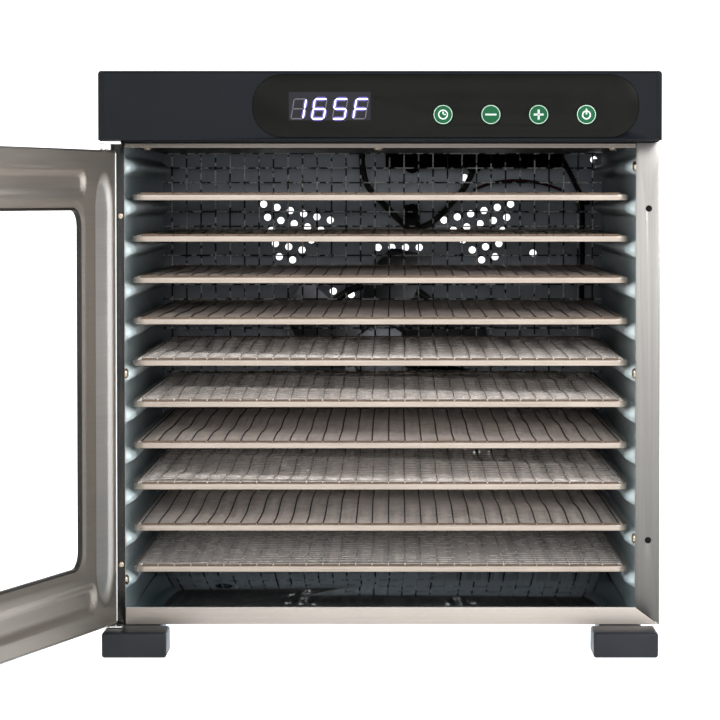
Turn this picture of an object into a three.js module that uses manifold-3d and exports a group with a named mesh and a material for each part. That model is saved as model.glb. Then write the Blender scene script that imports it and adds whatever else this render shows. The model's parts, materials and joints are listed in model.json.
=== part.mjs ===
// Ten-tray cabinet food dehydrator: a folded stainless cabinet with slide-out wire trays, a hinged
// glass door standing open, a black head with its controls, and a fan and heater behind the rear
// guard screen. Millimetres, +Z up, front towards -Y. While modelling, X = 0 is the cabinet's
// middle, Y = 0 the front face of the door jambs and Z = 0 the worktop.
import * as THREE from 'three';
import { mergeVertices } from 'three/addons/utils/BufferGeometryUtils.js';
import Module from 'manifold-3d';

const wasm = await Module();
wasm.setup();

// Driving dimensions
const bodyWidth = 416;
const cavityDepth = 400;
const rearDepth = 70;
const trayCount = 10;
const trayPitch = 30.87;
const baseUnderside = 19;
const headHeight = 50.7;
const headOverhang = 29;
const jambWidth = 17.9;
const lipHeight = 13;
const beadReach = 8;
const doorThickness = 14;
const doorOpenAngle = 106;
const fanRadius = 96;

// Stock, walls and clearances
const sheet = 1;
const gap = 0.3;
const plasticWall = 2.5;
const hem = 6;
const flange = 12;
const trayRoomBelow = 38.3;
const trayRoomAbove = 38.27;
const traySideRoom = 5.1;
const trayFrontRoom = 8;
const trayBackRoom = 7;
const headGap = 1.6;

// Derived places
const halfBody = bodyWidth / 2;
const jambInner = halfBody - jambWidth;
const bodyDepth = cavityDepth + rearDepth;
const floorTop = baseUnderside + 2.5;
const lipTop = baseUnderside + lipHeight;
const lowestTray = floorTop + trayRoomBelow;
const cavityTop = lowestTray + (trayCount - 1) * trayPitch + trayRoomAbove;
const jambTop = cavityTop + 1.8;
const headBottom = jambTop + headGap;
const headTop = headBottom + headHeight;
const headFront = -headOverhang;
const headWidth = bodyWidth - 2;
const trayWidth = 2 * (jambInner - traySideRoom);
const trayDepth = cavityDepth - trayFrontRoom - trayBackRoom;
const insideWidth = bodyWidth - 2 * (sheet + gap);
const fanHeight = (floorTop + cavityTop) / 2 + 2;
const rearPanelFront = bodyDepth + gap;

// Finishes
const finish = (color, roughness, metalness) => new THREE.MeshStandardMaterial({
  color, roughness, metalness,
});
const brushedSteel = finish(0xc9c6c1, 0.32, 1);
const satinSteel = finish(0x8f9aa0, 0.3, 1);
const wireSteel = finish(0xb9b2a8, 0.35, 1);
const brightSteel = finish(0xdad4ca, 0.2, 1);
const blackPlastic = finish(0x24282e, 0.45, 0);
const glossBlack = finish(0x141414, 0.12, 0);
const rubber = finish(0x101010, 0.7, 0);
const greenKey = finish(0x0c6a3a, 0.35, 0);
const displayGlass = finish(0x0b1020, 0.15, 0);
const boardGreen = finish(0x14502f, 0.5, 0);
const clearGlass = finish(0xe6f0ee, 0.05, 0);
const darkCable = finish(0x35362c, 0.5, 0);
const heaterSheath = finish(0x55524e, 0.45, 1);

const appliance = new THREE.Group();
const doorLeaf = new THREE.Group();
appliance.add(doorLeaf);

function addPiece(name, geometry, material, parent = appliance) {
  const mesh = new THREE.Mesh(geometry, material);
  mesh.name = name;
  parent.add(mesh);
  return mesh;
}

// Closed solids and their joins and cuts
function solid(geometry) {
  const bare = geometry.clone();
  bare.deleteAttribute('normal');
  bare.deleteAttribute('uv');
  const merged = mergeVertices(bare, 1e-4);
  return new wasm.Manifold(new wasm.Mesh({
    numProp: 3,
    vertProperties: new Float32Array(merged.attributes.position.array),
    triVerts: new Uint32Array(merged.index.array),
  }));
}

function toGeometry(manifold) {
  const mesh = manifold.getMesh();
  const geometry = new THREE.BufferGeometry();
  geometry.setAttribute('position', new THREE.BufferAttribute(mesh.vertProperties, 3));
  geometry.setIndex(new THREE.BufferAttribute(mesh.triVerts, 1));
  geometry.computeVertexNormals();
  return geometry;
}

const join = (...parts) => toGeometry(parts.map(solid).reduce((sum, part) => sum.add(part)));

function cut(body, ...tools) {
  return toGeometry(tools.map(solid).reduce((rest, tool) => rest.subtract(tool), solid(body)));
}

// Basic shapes
function box(x0, x1, y0, y1, z0, z1) {
  const geometry = new THREE.BoxGeometry(x1 - x0, y1 - y0, z1 - z0);
  return geometry.translate((x0 + x1) / 2, (y0 + y1) / 2, (z0 + z1) / 2);
}

function outline(points) {
  return new THREE.Shape(points.map(([x, y]) => new THREE.Vector2(x, y)));
}

function upright(shape, z0, z1, curveSegments = 4) {
  const options = { depth: z1 - z0, bevelEnabled: false, curveSegments };
  return new THREE.ExtrudeGeometry(shape, options).translate(0, 0, z0);
}

// A shape drawn in X and Z, given a thickness from y0 to y1
function facing(shape, y0, y1, curveSegments = 4) {
  const options = { depth: y1 - y0, bevelEnabled: false, curveSegments };
  return new THREE.ExtrudeGeometry(shape, options).rotateX(Math.PI / 2).translate(0, y1, 0);
}

function roundedRect(x0, x1, y0, y1, radius, shape = new THREE.Shape()) {
  shape.moveTo(x0 + radius, y0);
  shape.lineTo(x1 - radius, y0);
  shape.absarc(x1 - radius, y0 + radius, radius, -Math.PI / 2, 0, false);
  shape.lineTo(x1, y1 - radius);
  shape.absarc(x1 - radius, y1 - radius, radius, 0, Math.PI / 2, false);
  shape.lineTo(x0 + radius, y1);
  shape.absarc(x0 + radius, y1 - radius, radius, Math.PI / 2, Math.PI, false);
  shape.lineTo(x0, y0 + radius);
  shape.absarc(x0 + radius, y0 + radius, radius, Math.PI, 1.5 * Math.PI, false);
  return shape;
}

function rodAlongY(radius, x, z, y0, y1, sides = 16) {
  const geometry = new THREE.CylinderGeometry(radius, radius, y1 - y0, sides);
  return geometry.translate(x, (y0 + y1) / 2, z);
}

// CylinderGeometry stands along Y, so a rod along Y only needs its Z offset, and one along Z a turn
function rodAlongZ(radius, x, y, z0, z1, sides = 12) {
  const geometry = new THREE.CylinderGeometry(radius, radius, z1 - z0, sides);
  return geometry.rotateX(Math.PI / 2).translate(x, y, (z0 + z1) / 2);
}

function tubeAlong(curve, radius, steps, sides = 8) {
  const section = new THREE.Shape();
  for (let i = 0; i < sides; i += 1) {
    const angle = (2 * Math.PI * i) / sides;
    const [x, y] = [radius * Math.cos(angle), radius * Math.sin(angle)];
    if (i === 0) section.moveTo(x, y);
    else section.lineTo(x, y);
  }
  return new THREE.ExtrudeGeometry(section, { steps, extrudePath: curve, bevelEnabled: false });
}

// Flat lattice of crossing strips, centred in X and Y, as heavy as the fine wires it stands for
function lattice(width, height, columns, rows, strip, thickness) {
  const stepX = (width - strip) / columns;
  const stepY = (height - strip) / rows;
  const cells = [];
  for (let column = 0; column < columns; column += 1) {
    for (let row = 0; row < rows; row += 1) {
      const x = strip - width / 2 + column * stepX;
      const y = strip - height / 2 + row * stepY;
      cells.push(box(x, x + stepX - strip, y, y + stepY - strip, -1, thickness + 1));
    }
  }
  return cut(box(-width / 2, width / 2, -height / 2, height / 2, 0, thickness), ...cells);
}

// Cabinet sheets
const bumperX = halfBody - 8.5;
const bumperLevels = { upper: jambTop - 48.7, lower: baseUnderside + 63 };
const bumperHole = 2.1;

function sidePanel(side) {
  const section = [
    [jambInner, 0], [halfBody, 0], [halfBody, bodyDepth], [halfBody - flange, bodyDepth],
    [halfBody - flange, bodyDepth - sheet], [halfBody - sheet, bodyDepth - sheet],
    [halfBody - sheet, sheet], [jambInner + hem, sheet], [jambInner + hem, 2 * sheet],
    [jambInner, 2 * sheet],
  ];
  const panel = upright(outline(section), baseUnderside, jambTop);
  if (side < 0) return panel.scale(-1, 1, 1);
  const mitre = outline([
    [jambInner - 2, baseUnderside - 2], [halfBody - gap, baseUnderside - 2],
    [halfBody - gap, baseUnderside], [jambInner - 2, lipTop + 2],
  ]);
  const holes = Object.values(bumperLevels).map((level) => (
    rodAlongY(bumperHole, bumperX, level, -1, 3, 12)));
  return cut(panel, facing(mitre, -1, 3 * sheet), ...holes);
}

// scale(-1, 1, 1) turns the faces inside out, so a mirrored solid's triangles are wound back
function mirrored(geometry) {
  const flat = geometry.index ? geometry.toNonIndexed() : geometry;
  const position = flat.attributes.position;
  for (let i = 0; i < position.count; i += 3) {
    const second = [position.getX(i + 1), position.getY(i + 1), position.getZ(i + 1)];
    position.setXYZ(i + 1, position.getX(i + 2), position.getY(i + 2), position.getZ(i + 2));
    position.setXYZ(i + 2, ...second);
  }
  return flat;
}

// Sheet spanning the cabinet, narrowed at the front to pass between the jambs
function spanningSheet(z0, z1) {
  const half = insideWidth / 2;
  const front = jambInner - gap;
  const step = 2 * sheet + gap;
  return upright(outline([
    [-front, 0], [front, 0], [front, step], [half, step], [half, bodyDepth - sheet - gap],
    [-half, bodyDepth - sheet - gap], [-half, step], [-front, step],
  ]), z0, z1);
}

function basePanel() {
  const left = -(jambInner - gap);
  const mitredLip = outline([
    [left, baseUnderside], [halfBody - 2 * gap, baseUnderside],
    [jambInner - gap, lipTop], [left, lipTop],
  ]);
  const topFold = box(left, jambInner - gap, 0, hem, lipTop - sheet, lipTop);
  return join(spanningSheet(floorTop - sheet, floorTop), facing(mitredLip, 0, sheet), topFold);
}

function ceilingPanel() {
  const half = jambInner - gap;
  const frontFold = box(-half, half, 0, hem, cavityTop, jambTop);
  return join(spanningSheet(cavityTop, cavityTop + sheet), frontFold);
}

// Triangular clusters of vent holes, pointing away from the fan's axis
const ventRadius = 3;
const ventPitch = 12;
const ventRows = 4;
const ventClusters = 6;
const ventRing = 128;
const inletX = -(halfBody - 58);
const inletZ = baseUnderside + 39;
const inletRadius = 8.4;

function ventHoles() {
  const holes = [];
  for (let cluster = 0; cluster < ventClusters; cluster += 1) {
    const turn = (2 * Math.PI * cluster) / ventClusters + Math.PI / 6;
    for (let row = 0; row < ventRows; row += 1) {
      for (let i = 0; i < ventRows - row; i += 1) {
        const across = (i - (ventRows - row - 1) / 2) * ventPitch;
        const out = ventRing - ventRows * 4 + row * ventPitch * 0.866;
        const x = out * Math.cos(turn) - across * Math.sin(turn);
        const z = fanHeight + out * Math.sin(turn) + across * Math.cos(turn);
        holes.push(rodAlongY(ventRadius, x, z, bodyDepth, bodyDepth + 4, 6));
      }
    }
  }
  return holes;
}

function rearPanel() {
  const half = halfBody - 3;
  const plate = box(
    -half, half, rearPanelFront, rearPanelFront + sheet, baseUnderside + 0.5, jambTop - 0.2,
  );
  const inlet = rodAlongY(inletRadius, inletX, inletZ, bodyDepth, bodyDepth + 4);
  return cut(plate, inlet, ...ventHoles());
}

// Rack walls: a sheet with eleven pressed beads that carry the trays
const rackSheet = 0.8;
const rackInner = jambInner + 0.2;
const beadHalf = 6.5;
const beadSegments = 6;
const trayHeight = 5;
const beadDrop = 8;
const rackBottom = floorTop + gap;
const rackTop = cavityTop - gap;

function beadArc(level, reach, half) {
  const points = [];
  for (let i = 0; i <= beadSegments; i += 1) {
    const angle = (Math.PI * i) / beadSegments - Math.PI / 2;
    points.push([reach * Math.cos(angle), level + half * Math.sin(angle)]);
  }
  return points;
}

function rackWall() {
  const inner = [];
  const outer = [];
  for (let i = 0; i <= trayCount; i += 1) {
    const level = lowestTray - beadDrop + i * trayPitch;
    for (const [reach, z] of beadArc(level, beadReach, beadHalf)) {
      inner.push([rackInner - reach, z]);
    }
    for (const [reach, z] of beadArc(level, beadReach - rackSheet, beadHalf - rackSheet)) {
      outer.push([rackInner + rackSheet - Math.max(reach, 0), z]);
    }
  }
  const section = [
    [rackInner, rackBottom], ...inner, [rackInner, rackTop], [rackInner + rackSheet, rackTop],
    ...outer.reverse(), [rackInner + rackSheet, rackBottom],
  ];
  return facing(outline(section), 2 * sheet + gap, cavityDepth - 2);
}

// Trays: a folded rim with a ledge inside, and a panel of woven wire lying on the ledge
const rimWidth = 6;
const rimCorner = 8;
const rimSheet = 1.2;
const meshThickness = 1.2;
const meshInset = 2.2;
const meshStrip = 6.6;

function trayRing(width, low, high) {
  const half = trayWidth / 2;
  const back = trayFrontRoom + trayDepth;
  const shape = roundedRect(-half, half, trayFrontRoom, back, rimCorner);
  shape.holes.push(roundedRect(
    -half + width, half - width, trayFrontRoom + width, back - width,
    rimCorner - width, new THREE.Path(),
  ));
  return upright(shape, low, high, 1);
}

function trayRim(level) {
  const wall = trayRing(rimSheet, level - trayHeight / 2, level + trayHeight / 2);
  return join(wall, trayRing(rimWidth, level - rimSheet / 2, level + rimSheet / 2));
}

function trayMesh(level) {
  const width = trayWidth - 2 * (rimSheet + meshInset);
  const depth = trayDepth - 2 * (rimSheet + meshInset);
  const panel = lattice(width, depth, 4, 4, meshStrip, meshThickness);
  return panel.translate(0, trayFrontRoom + trayDepth / 2, level + rimSheet / 2 + gap);
}

function guardScreen() {
  const half = jambInner + 5;
  const height = rackTop - rackBottom;
  const screen = lattice(2 * half, height, 6, 5, 4, sheet).rotateX(Math.PI / 2);
  return screen.translate(0, cavityDepth - 0.6, (rackTop + rackBottom) / 2);
}

// Head: a hollow cover, open below over the ceiling panel, with the control panel set in its front
const overlayWidth = 283.5;
const overlayHeight = 46.5;
const overlayRight = headWidth / 2 - 17.1;
const overlayLeft = overlayRight - overlayWidth;
const overlayLow = headBottom + 1.6;
const overlayHigh = overlayLow + overlayHeight;
const overlayDepth = 1;
const overlayCorner = 22;
const displayWidth = 60;
const displayHeight = 20.7;
const displayLeft = overlayLeft + 26.8;
const displayLow = overlayLow + 12.8;
const keyRadius = 7.3;
const keyClearance = 0.5;
const keyPitch = 35;
const keyLevel = overlayLow + 17;
const keyTravel = 0.5;
const keyNames = ['start_stop_key', 'plus_key', 'minus_key', 'set_key'];
const keyPlaces = keyNames.map((name, i) => overlayRight - 38.7 - i * keyPitch);

function overlayShape(inset) {
  return roundedRect(
    overlayLeft + inset, overlayRight - inset, overlayLow + inset, overlayHigh - inset,
    overlayCorner - inset,
  );
}

const keyHoles = (y0, y1) => keyPlaces.map((x) => (
  rodAlongY(keyRadius + keyClearance, x, keyLevel, y0, y1)));

function displayBlock(y0, y1, margin = 0) {
  return box(
    displayLeft - margin, displayLeft + displayWidth + margin, y0, y1,
    displayLow - margin, displayLow + displayHeight + margin,
  );
}

function topCover() {
  const half = headWidth / 2;
  const bevel = 5;
  const plan = outline([
    [-half + bevel, headFront], [half - bevel, headFront], [half, headFront + bevel],
    [half, 0.5], [-half, 0.5], [-half, headFront + bevel],
  ]);
  const front = upright(plan, headBottom, headTop);
  const rear = box(-half, half, 0, bodyDepth, jambTop + gap, headTop);
  const hollow = box(
    -half + plasticWall, half - plasticWall, plasticWall, bodyDepth - plasticWall,
    jambTop - 1, headTop - plasticWall,
  );
  const frontHollow = box(
    -half + 6, half - 6, headFront + plasticWall, plasticWall + 1,
    headBottom + 2, headTop - plasticWall,
  );
  const recess = facing(overlayShape(0), headFront - 1, headFront + overlayDepth);
  return cut(
    join(front, rear), hollow, frontHollow, recess,
    displayBlock(headFront - 1, headFront + 4, gap), ...keyHoles(headFront - 1, headFront + 4),
  );
}

function controlOverlay() {
  const plate = facing(overlayShape(gap), headFront - 0.4, headFront + overlayDepth - gap);
  return cut(plate, ...keyHoles(headFront - 1, headFront + 4));
}

const boardFront = headFront + 5.5;

const displayModule = () => displayBlock(headFront + overlayDepth, boardFront - gap);

function keyButton(x) {
  const back = boardFront - keyTravel - gap;
  return rodAlongY(keyRadius, x, keyLevel, headFront - 0.7, back);
}

const controlBoard = () => box(
  overlayLeft + 10, overlayRight - 12, boardFront, boardFront + 1.6, headBottom + 6, headTop - 6,
);

// Board on four standoffs, with its transformer, capacitor and relay
const powerBoardWidth = 110;
const powerBoardDepth = 90;
const standoff = 5;

function powerBoard() {
  const floor = cavityTop + sheet + gap;
  const top = floor + standoff + 1;
  const standoffs = [5, powerBoardWidth - 5].flatMap((x) => (
    [5, powerBoardDepth - 5].map((y) => rodAlongZ(3, x, y, floor, top, 8))));
  const board = join(
    box(0, powerBoardWidth, 0, powerBoardDepth, floor + standoff, floor + standoff + 1.6),
    box(10, 50, 12, 52, top, top + 28), box(62, 86, 20, 40, top, top + 18),
    box(60, 100, 55, 80, top, top + 14), ...standoffs,
  );
  return board.translate(38 - halfBody, 60, 0);
}

// Feet: the front pair reaches out under the open door
const footWidth = 50;
const footLength = 88;
const frontFootReach = 43;
const footX = halfBody - 29;

function foot(x, yFront) {
  const plan = roundedRect(
    x - footWidth / 2, x + footWidth / 2, yFront, yFront + footLength, 5,
  );
  const pad = box(
    x - footWidth / 2 + 4, x + footWidth / 2 - 4, Math.max(yFront + 6, sheet + 1),
    yFront + footLength - 6, baseUnderside / 2, floorTop - sheet - gap,
  );
  return join(upright(plan, 0, baseUnderside - gap), pad);
}

// Door, drawn closed with its hinge axis on the local origin: +X runs to the free edge and +Y
// faces the trays
const hingeX = -(halfBody - 5.3);
const hingeY = -8;
const doorInner = 6;
const doorOuter = doorInner - doorThickness;
const doorHingeEdge = -4.8;
const doorFreeEdge = halfBody - hingeX - 0.5;
const doorBottom = baseUnderside + 1.6;
const doorTop = jambTop - 5.7;
const doorMiddle = (doorBottom + doorTop) / 2;
const doorSheet = 1.2;
const windowLeft = 62.4;
const windowRight = doorFreeEdge - 57.6;
const windowBottom = doorBottom + 47;
const windowTop = doorTop - 42.2;
const windowCorner = 14;
const hingePin = 2.5;
const hingeBore = 3;
const pinLength = 9;
const glassThickness = 4;
const glassSink = 4.1;
const glassFront = doorInner - glassSink - glassThickness;
const glassLap = 8;
const gasketWall = 2;
const outerStep = 24;

function windowShape(inset) {
  return roundedRect(
    windowLeft + inset, windowRight - inset, windowBottom + inset, windowTop - inset,
    windowCorner - Math.min(inset, windowCorner - 2),
  );
}

// The outer skin's opening is stepped back all round, so the glass hangs in the inner panel alone
function doorOuterFrame() {
  const shell = box(doorHingeEdge, doorFreeEdge, doorOuter, doorInner, doorBottom, doorTop);
  const inside = box(
    doorHingeEdge + doorSheet, doorFreeEdge - doorSheet, doorOuter + doorSheet, doorInner + 1,
    doorBottom + doorSheet, doorTop - doorSheet,
  );
  const opening = facing(windowShape(-outerStep), doorOuter - 1, doorInner + 2);
  const pivots = [[doorBottom - 1, doorBottom + 2], [doorTop - 2, doorTop + 1]];
  return cut(
    shell, inside, opening,
    ...pivots.map(([z0, z1]) => rodAlongZ(hingeBore, 0, 0, z0, z1)),
  );
}

function doorInnerFrame() {
  const edge = doorSheet + gap;
  const panel = facing(outline([
    [doorHingeEdge + edge, doorBottom + edge], [doorFreeEdge - edge, doorBottom + edge],
    [doorFreeEdge - edge, doorTop - edge], [doorHingeEdge + edge, doorTop - edge],
  ]), doorInner - sheet, doorInner);
  return cut(panel, facing(windowShape(0), doorOuter, doorInner + 2));
}

function doorGlass() {
  return facing(windowShape(-glassLap), glassFront, glassFront + glassThickness, 2);
}

// Bonded behind the inner panel, with a groove for the glass; its outer lip is the shorter one
function glassGasket() {
  const body = facing(
    windowShape(-glassLap - gasketWall - gap), glassFront - gasketWall, doorInner - sheet - gap, 2,
  );
  const seat = facing(
    windowShape(-glassLap - gap), glassFront - gap, glassFront + glassThickness + gap, 2,
  );
  const innerLip = facing(windowShape(gasketWall), glassFront + 1, doorInner, 2);
  const outerLip = facing(windowShape(-2 * gasketWall), doorOuter, glassFront + 1, 2);
  return cut(body, seat, innerLip, outerLip);
}

const handleInset = 24.6;
const handleLength = 150;
const postInset = 21;
const handleStand = 30;
const handleRadius = 6.5;

function doorHandle() {
  const x = doorFreeEdge - handleInset;
  const half = handleLength / 2;
  const barY = doorOuter - handleStand;
  const posts = [postInset - half, half - postInset].map((place) => (
    rodAlongY(handleRadius - 1, x, doorMiddle + place, barY, doorOuter - gap, 12)));
  const bar = rodAlongZ(handleRadius, x, barY, doorMiddle - half, doorMiddle + half, 12);
  return join(bar, ...posts);
}

const magnetSpread = 90;

function doorMagnet(level) {
  return box(
    doorFreeEdge - 18, doorFreeEdge - 6, doorInner - sheet - gap - 4, doorInner - sheet - gap,
    level - 20, level + 20,
  );
}

// Hinge brackets: the upper one hangs under the head, the lower one lies on the front left foot
function upperHinge() {
  const plate = box(hingeX - 6, hingeX + 12, hingeY - 13, -0.6, headBottom - 2.8, headBottom - gap);
  const collar = rodAlongZ(5, hingeX, hingeY, doorTop + gap, headBottom - 1);
  const pin = rodAlongZ(hingePin, hingeX, hingeY, doorTop - pinLength, doorTop + 2);
  return join(plate, collar, pin);
}

function lowerHinge() {
  const plate = box(
    hingeX - 1, hingeX + 12, hingeY - 13, -0.6, baseUnderside, doorBottom - gap,
  );
  const pin = rodAlongZ(hingePin, hingeX, hingeY, baseUnderside + 0.4, doorBottom + pinLength);
  const lug = rodAlongZ(6, hingeX, hingeY, baseUnderside, doorBottom - gap);
  return join(plate, lug, pin);
}

// Rubber plug in the right jamb, where the closing door lands
function jambBumper(level) {
  return join(
    rodAlongY(bumperHole - gap, bumperX, level, -0.4, 3, 12),
    rodAlongY(3.4, bumperX, level, sheet + gap, 3.4, 12),
  );
}

// Fan, motor and heater in the rear compartment
const shaftRadius = 3;
const motorRadius = 28;
const motorFront = cavityDepth + 33;
const bracketHalf = 78;
const hubRadius = 27;
const bladeCount = 5;

function fanMotor() {
  return join(
    rodAlongY(motorRadius, 0, fanHeight, motorFront, bodyDepth - 8, 20),
    rodAlongY(11, 0, fanHeight, motorFront - 3.6, motorFront + 1, 16),
    rodAlongY(shaftRadius, 0, fanHeight, cavityDepth + 7, motorFront, 12),
  );
}

function motorBracket() {
  const strap = roundedRect(-bracketHalf, bracketHalf, fanHeight - 16, fanHeight + 16, 3);
  const disc = rodAlongY(34, 0, fanHeight, motorFront - 1.8, motorFront - gap, 20);
  const legs = [-1, 1].map((side) => box(
    Math.min(side * bracketHalf, side * (bracketHalf - 1.5)),
    Math.max(side * bracketHalf, side * (bracketHalf - 1.5)),
    motorFront - 1.8, rearPanelFront - gap, fanHeight - 12, fanHeight + 12,
  ));
  const plate = join(facing(strap, motorFront - 1.8, motorFront - gap), disc, ...legs);
  return cut(plate, rodAlongY(12, 0, fanHeight, motorFront - 6, motorFront + 2));
}

function fanRotor() {
  const front = cavityDepth + 9;
  const hub = rodAlongY(hubRadius, 0, fanHeight, front + 4, front + 12, 20);
  const blades = [];
  for (let i = 0; i < bladeCount; i += 1) {
    const blade = new THREE.BoxGeometry(fanRadius - hubRadius + 6, 1.2, 46);
    blade.rotateX(THREE.MathUtils.degToRad(19));
    blade.translate((fanRadius + hubRadius) / 2 - 3, front + 8, 0);
    blade.rotateY((2 * Math.PI * i) / bladeCount + Math.PI / 2);
    blades.push(blade.translate(0, 0, fanHeight));
  }
  return cut(
    join(hub, ...blades), rodAlongY(shaftRadius + 0.4, 0, fanHeight, front, front + 20, 12),
  );
}

const heaterRing = 62;

function heatingElement() {
  const y = bodyDepth - 16;
  const path = [];
  const wall = rearPanelFront - gap;
  const ringStart = THREE.MathUtils.degToRad(-70);
  const ringSweep = THREE.MathUtils.degToRad(320);
  const ringPoint = (share, place) => {
    const angle = ringStart + ringSweep * share;
    return new THREE.Vector3(
      heaterRing * Math.cos(angle), place, fanHeight + heaterRing * Math.sin(angle),
    );
  };
  path.push(ringPoint(0, wall), ringPoint(0, wall - 5));
  for (let i = 1; i < 20; i += 1) path.push(ringPoint(i / 20, y));
  path.push(ringPoint(1, wall - 5), ringPoint(1, wall));
  return tubeAlong(new THREE.CatmullRomCurve3(path), 3.2, 40);
}

const coverHeight = 12;

function terminalCover() {
  const top = cavityTop - gap;
  const tabs = [26, 80].map((x) => rodAlongY(
    7, x, top - coverHeight + 2, cavityDepth + 12, cavityDepth + 20, 16));
  return join(
    box(3, 156, cavityDepth + 6, cavityDepth + 42, top - coverHeight, top), ...tabs,
  );
}

const cableRadius = 2.6;
const cableY = cavityDepth + 50;

// The fan's supply cable hangs from the ceiling, through its clip, and back up to the terminals:
// how far right, and how far below the ceiling
function fanCable() {
  const route = [
    [-18, 0], [-18, 8], [-13, 28], [4, 47], [24, 65], [42, 61], [60, 45], [74, 27], [82, 8],
    [82, 0],
  ];
  const points = route.map(([x, drop]) => new THREE.Vector3(x, cableY, cavityTop - gap - drop));
  return tubeAlong(new THREE.CatmullRomCurve3(points), cableRadius, 36);
}

function cableClip() {
  const [x, z] = [26, cavityTop - 50.9];
  const behind = cableY + cableRadius + gap;
  return join(
    box(x - 7, x + 7, behind, behind + 1.5, z - 19, z + 6),
    box(x - 7, x + 7, cableY - cableRadius - 3, behind + 1, z - 20.5, z - 18.5),
    rodAlongY(5, x, z, cableY - 2, behind + 1, 6),
    rodAlongY(2.5, x, z, behind, rearPanelFront - gap, 8),
  );
}

// Gland for the mains cord, without its cord
function inletGland() {
  const outer = [
    [3.6, -6], [7.8, -6], [7.8, sheet + 0.8], [11, sheet + 0.8], [11, 6], [8, 14], [3.6, 14],
    [3.6, -6],
  ].map(([radius, along]) => new THREE.Vector2(radius, along));
  const gland = new THREE.LatheGeometry(outer, 16);
  return gland.translate(inletX, rearPanelFront, inletZ);
}

addPiece('left_side_panel', mirrored(sidePanel(-1)), brushedSteel);
addPiece('right_side_panel', sidePanel(1), brushedSteel);
addPiece('base_panel', basePanel(), brushedSteel);
addPiece('ceiling_panel', ceilingPanel(), brushedSteel);
addPiece('rear_panel', rearPanel(), brushedSteel);
addPiece('left_rack_wall', mirrored(rackWall().scale(-1, 1, 1)), satinSteel);
addPiece('right_rack_wall', rackWall(), satinSteel);
addPiece('guard_screen', guardScreen(), wireSteel);
addPiece('top_cover', topCover(), blackPlastic);
addPiece('control_overlay', controlOverlay(), glossBlack);
addPiece('display_module', displayModule(), displayGlass);
addPiece('control_board', controlBoard(), boardGreen);
addPiece('power_board', powerBoard(), boardGreen);
keyNames.forEach((name, i) => addPiece(name, keyButton(keyPlaces[i]), greenKey));

const rearFootY = bodyDepth - footLength - 4;
addPiece('front_left_foot', foot(-footX, -frontFootReach), blackPlastic);
addPiece('front_right_foot', foot(footX, -frontFootReach), blackPlastic);
addPiece('rear_left_foot', foot(-footX, rearFootY), blackPlastic);
addPiece('rear_right_foot', foot(footX, rearFootY), blackPlastic);

addPiece('upper_hinge_bracket', upperHinge(), brightSteel);
addPiece('lower_hinge_bracket', lowerHinge(), brightSteel);
addPiece('upper_jamb_bumper', jambBumper(bumperLevels.upper), rubber);
addPiece('lower_jamb_bumper', jambBumper(bumperLevels.lower), rubber);

addPiece('door_outer_frame', doorOuterFrame(), brushedSteel, doorLeaf);
addPiece('door_inner_frame', doorInnerFrame(), brushedSteel, doorLeaf);
addPiece('door_glass', doorGlass(), clearGlass, doorLeaf);
addPiece('glass_gasket', glassGasket(), rubber, doorLeaf);
addPiece('door_handle', doorHandle(), brightSteel, doorLeaf);
addPiece('upper_door_magnet', doorMagnet(doorMiddle + magnetSpread), rubber, doorLeaf);
addPiece('lower_door_magnet', doorMagnet(doorMiddle - magnetSpread), rubber, doorLeaf);
doorLeaf.position.set(hingeX, hingeY, 0);
doorLeaf.rotation.z = THREE.MathUtils.degToRad(-doorOpenAngle);

addPiece('fan_motor', fanMotor(), satinSteel);
addPiece('fan_motor_bracket', motorBracket(), brushedSteel);
addPiece('fan_rotor', fanRotor(), brushedSteel);
addPiece('heating_element', heatingElement(), heaterSheath);
addPiece('terminal_cover', terminalCover(), blackPlastic);
addPiece('fan_cable', fanCable(), darkCable);
addPiece('cable_clip', cableClip(), brushedSteel);
addPiece('power_inlet_gland', inletGland(), blackPlastic);

// Trays are numbered from the top
for (let number = 1; number <= trayCount; number += 1) {
  const level = lowestTray + (trayCount - number) * trayPitch;
  addPiece(`tray_${number}_rim`, trayRim(level), brightSteel);
  addPiece(`tray_${number}_mesh`, trayMesh(level), wireSteel);
}

// The whole stands on the origin, below the middle of its bounding box with the door open
const span = new THREE.Box3().setFromObject(appliance, true);
const model = new THREE.Group();
model.add(appliance);
appliance.position.set(-(span.min.x + span.max.x) / 2, -(span.min.y + span.max.y) / 2, 0);

export default model;
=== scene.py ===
import json
import math
import random

import bmesh
import bpy
from mathutils import Matrix, Vector


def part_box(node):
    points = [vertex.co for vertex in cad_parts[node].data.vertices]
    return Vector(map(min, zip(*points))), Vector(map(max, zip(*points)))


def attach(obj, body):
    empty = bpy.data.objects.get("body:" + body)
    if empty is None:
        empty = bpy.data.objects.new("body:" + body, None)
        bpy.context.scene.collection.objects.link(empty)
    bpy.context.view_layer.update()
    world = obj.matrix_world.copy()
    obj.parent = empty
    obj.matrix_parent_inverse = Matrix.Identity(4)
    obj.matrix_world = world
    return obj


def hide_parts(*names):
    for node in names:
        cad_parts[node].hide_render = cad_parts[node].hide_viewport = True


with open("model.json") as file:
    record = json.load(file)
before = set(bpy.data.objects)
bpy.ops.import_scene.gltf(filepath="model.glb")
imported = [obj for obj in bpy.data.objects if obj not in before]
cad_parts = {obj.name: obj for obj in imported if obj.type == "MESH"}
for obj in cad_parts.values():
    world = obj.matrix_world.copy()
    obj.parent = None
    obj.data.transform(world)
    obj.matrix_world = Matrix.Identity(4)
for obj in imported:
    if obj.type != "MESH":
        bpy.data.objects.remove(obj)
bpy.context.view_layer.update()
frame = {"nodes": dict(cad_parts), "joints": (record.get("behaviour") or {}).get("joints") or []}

# Two working frames in millimetres: the cabinet's, from its middle, the jambs' front face and the
# worktop, and the door's, from its hinge axis with +X along the leaf and +Y to its inner face

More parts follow.
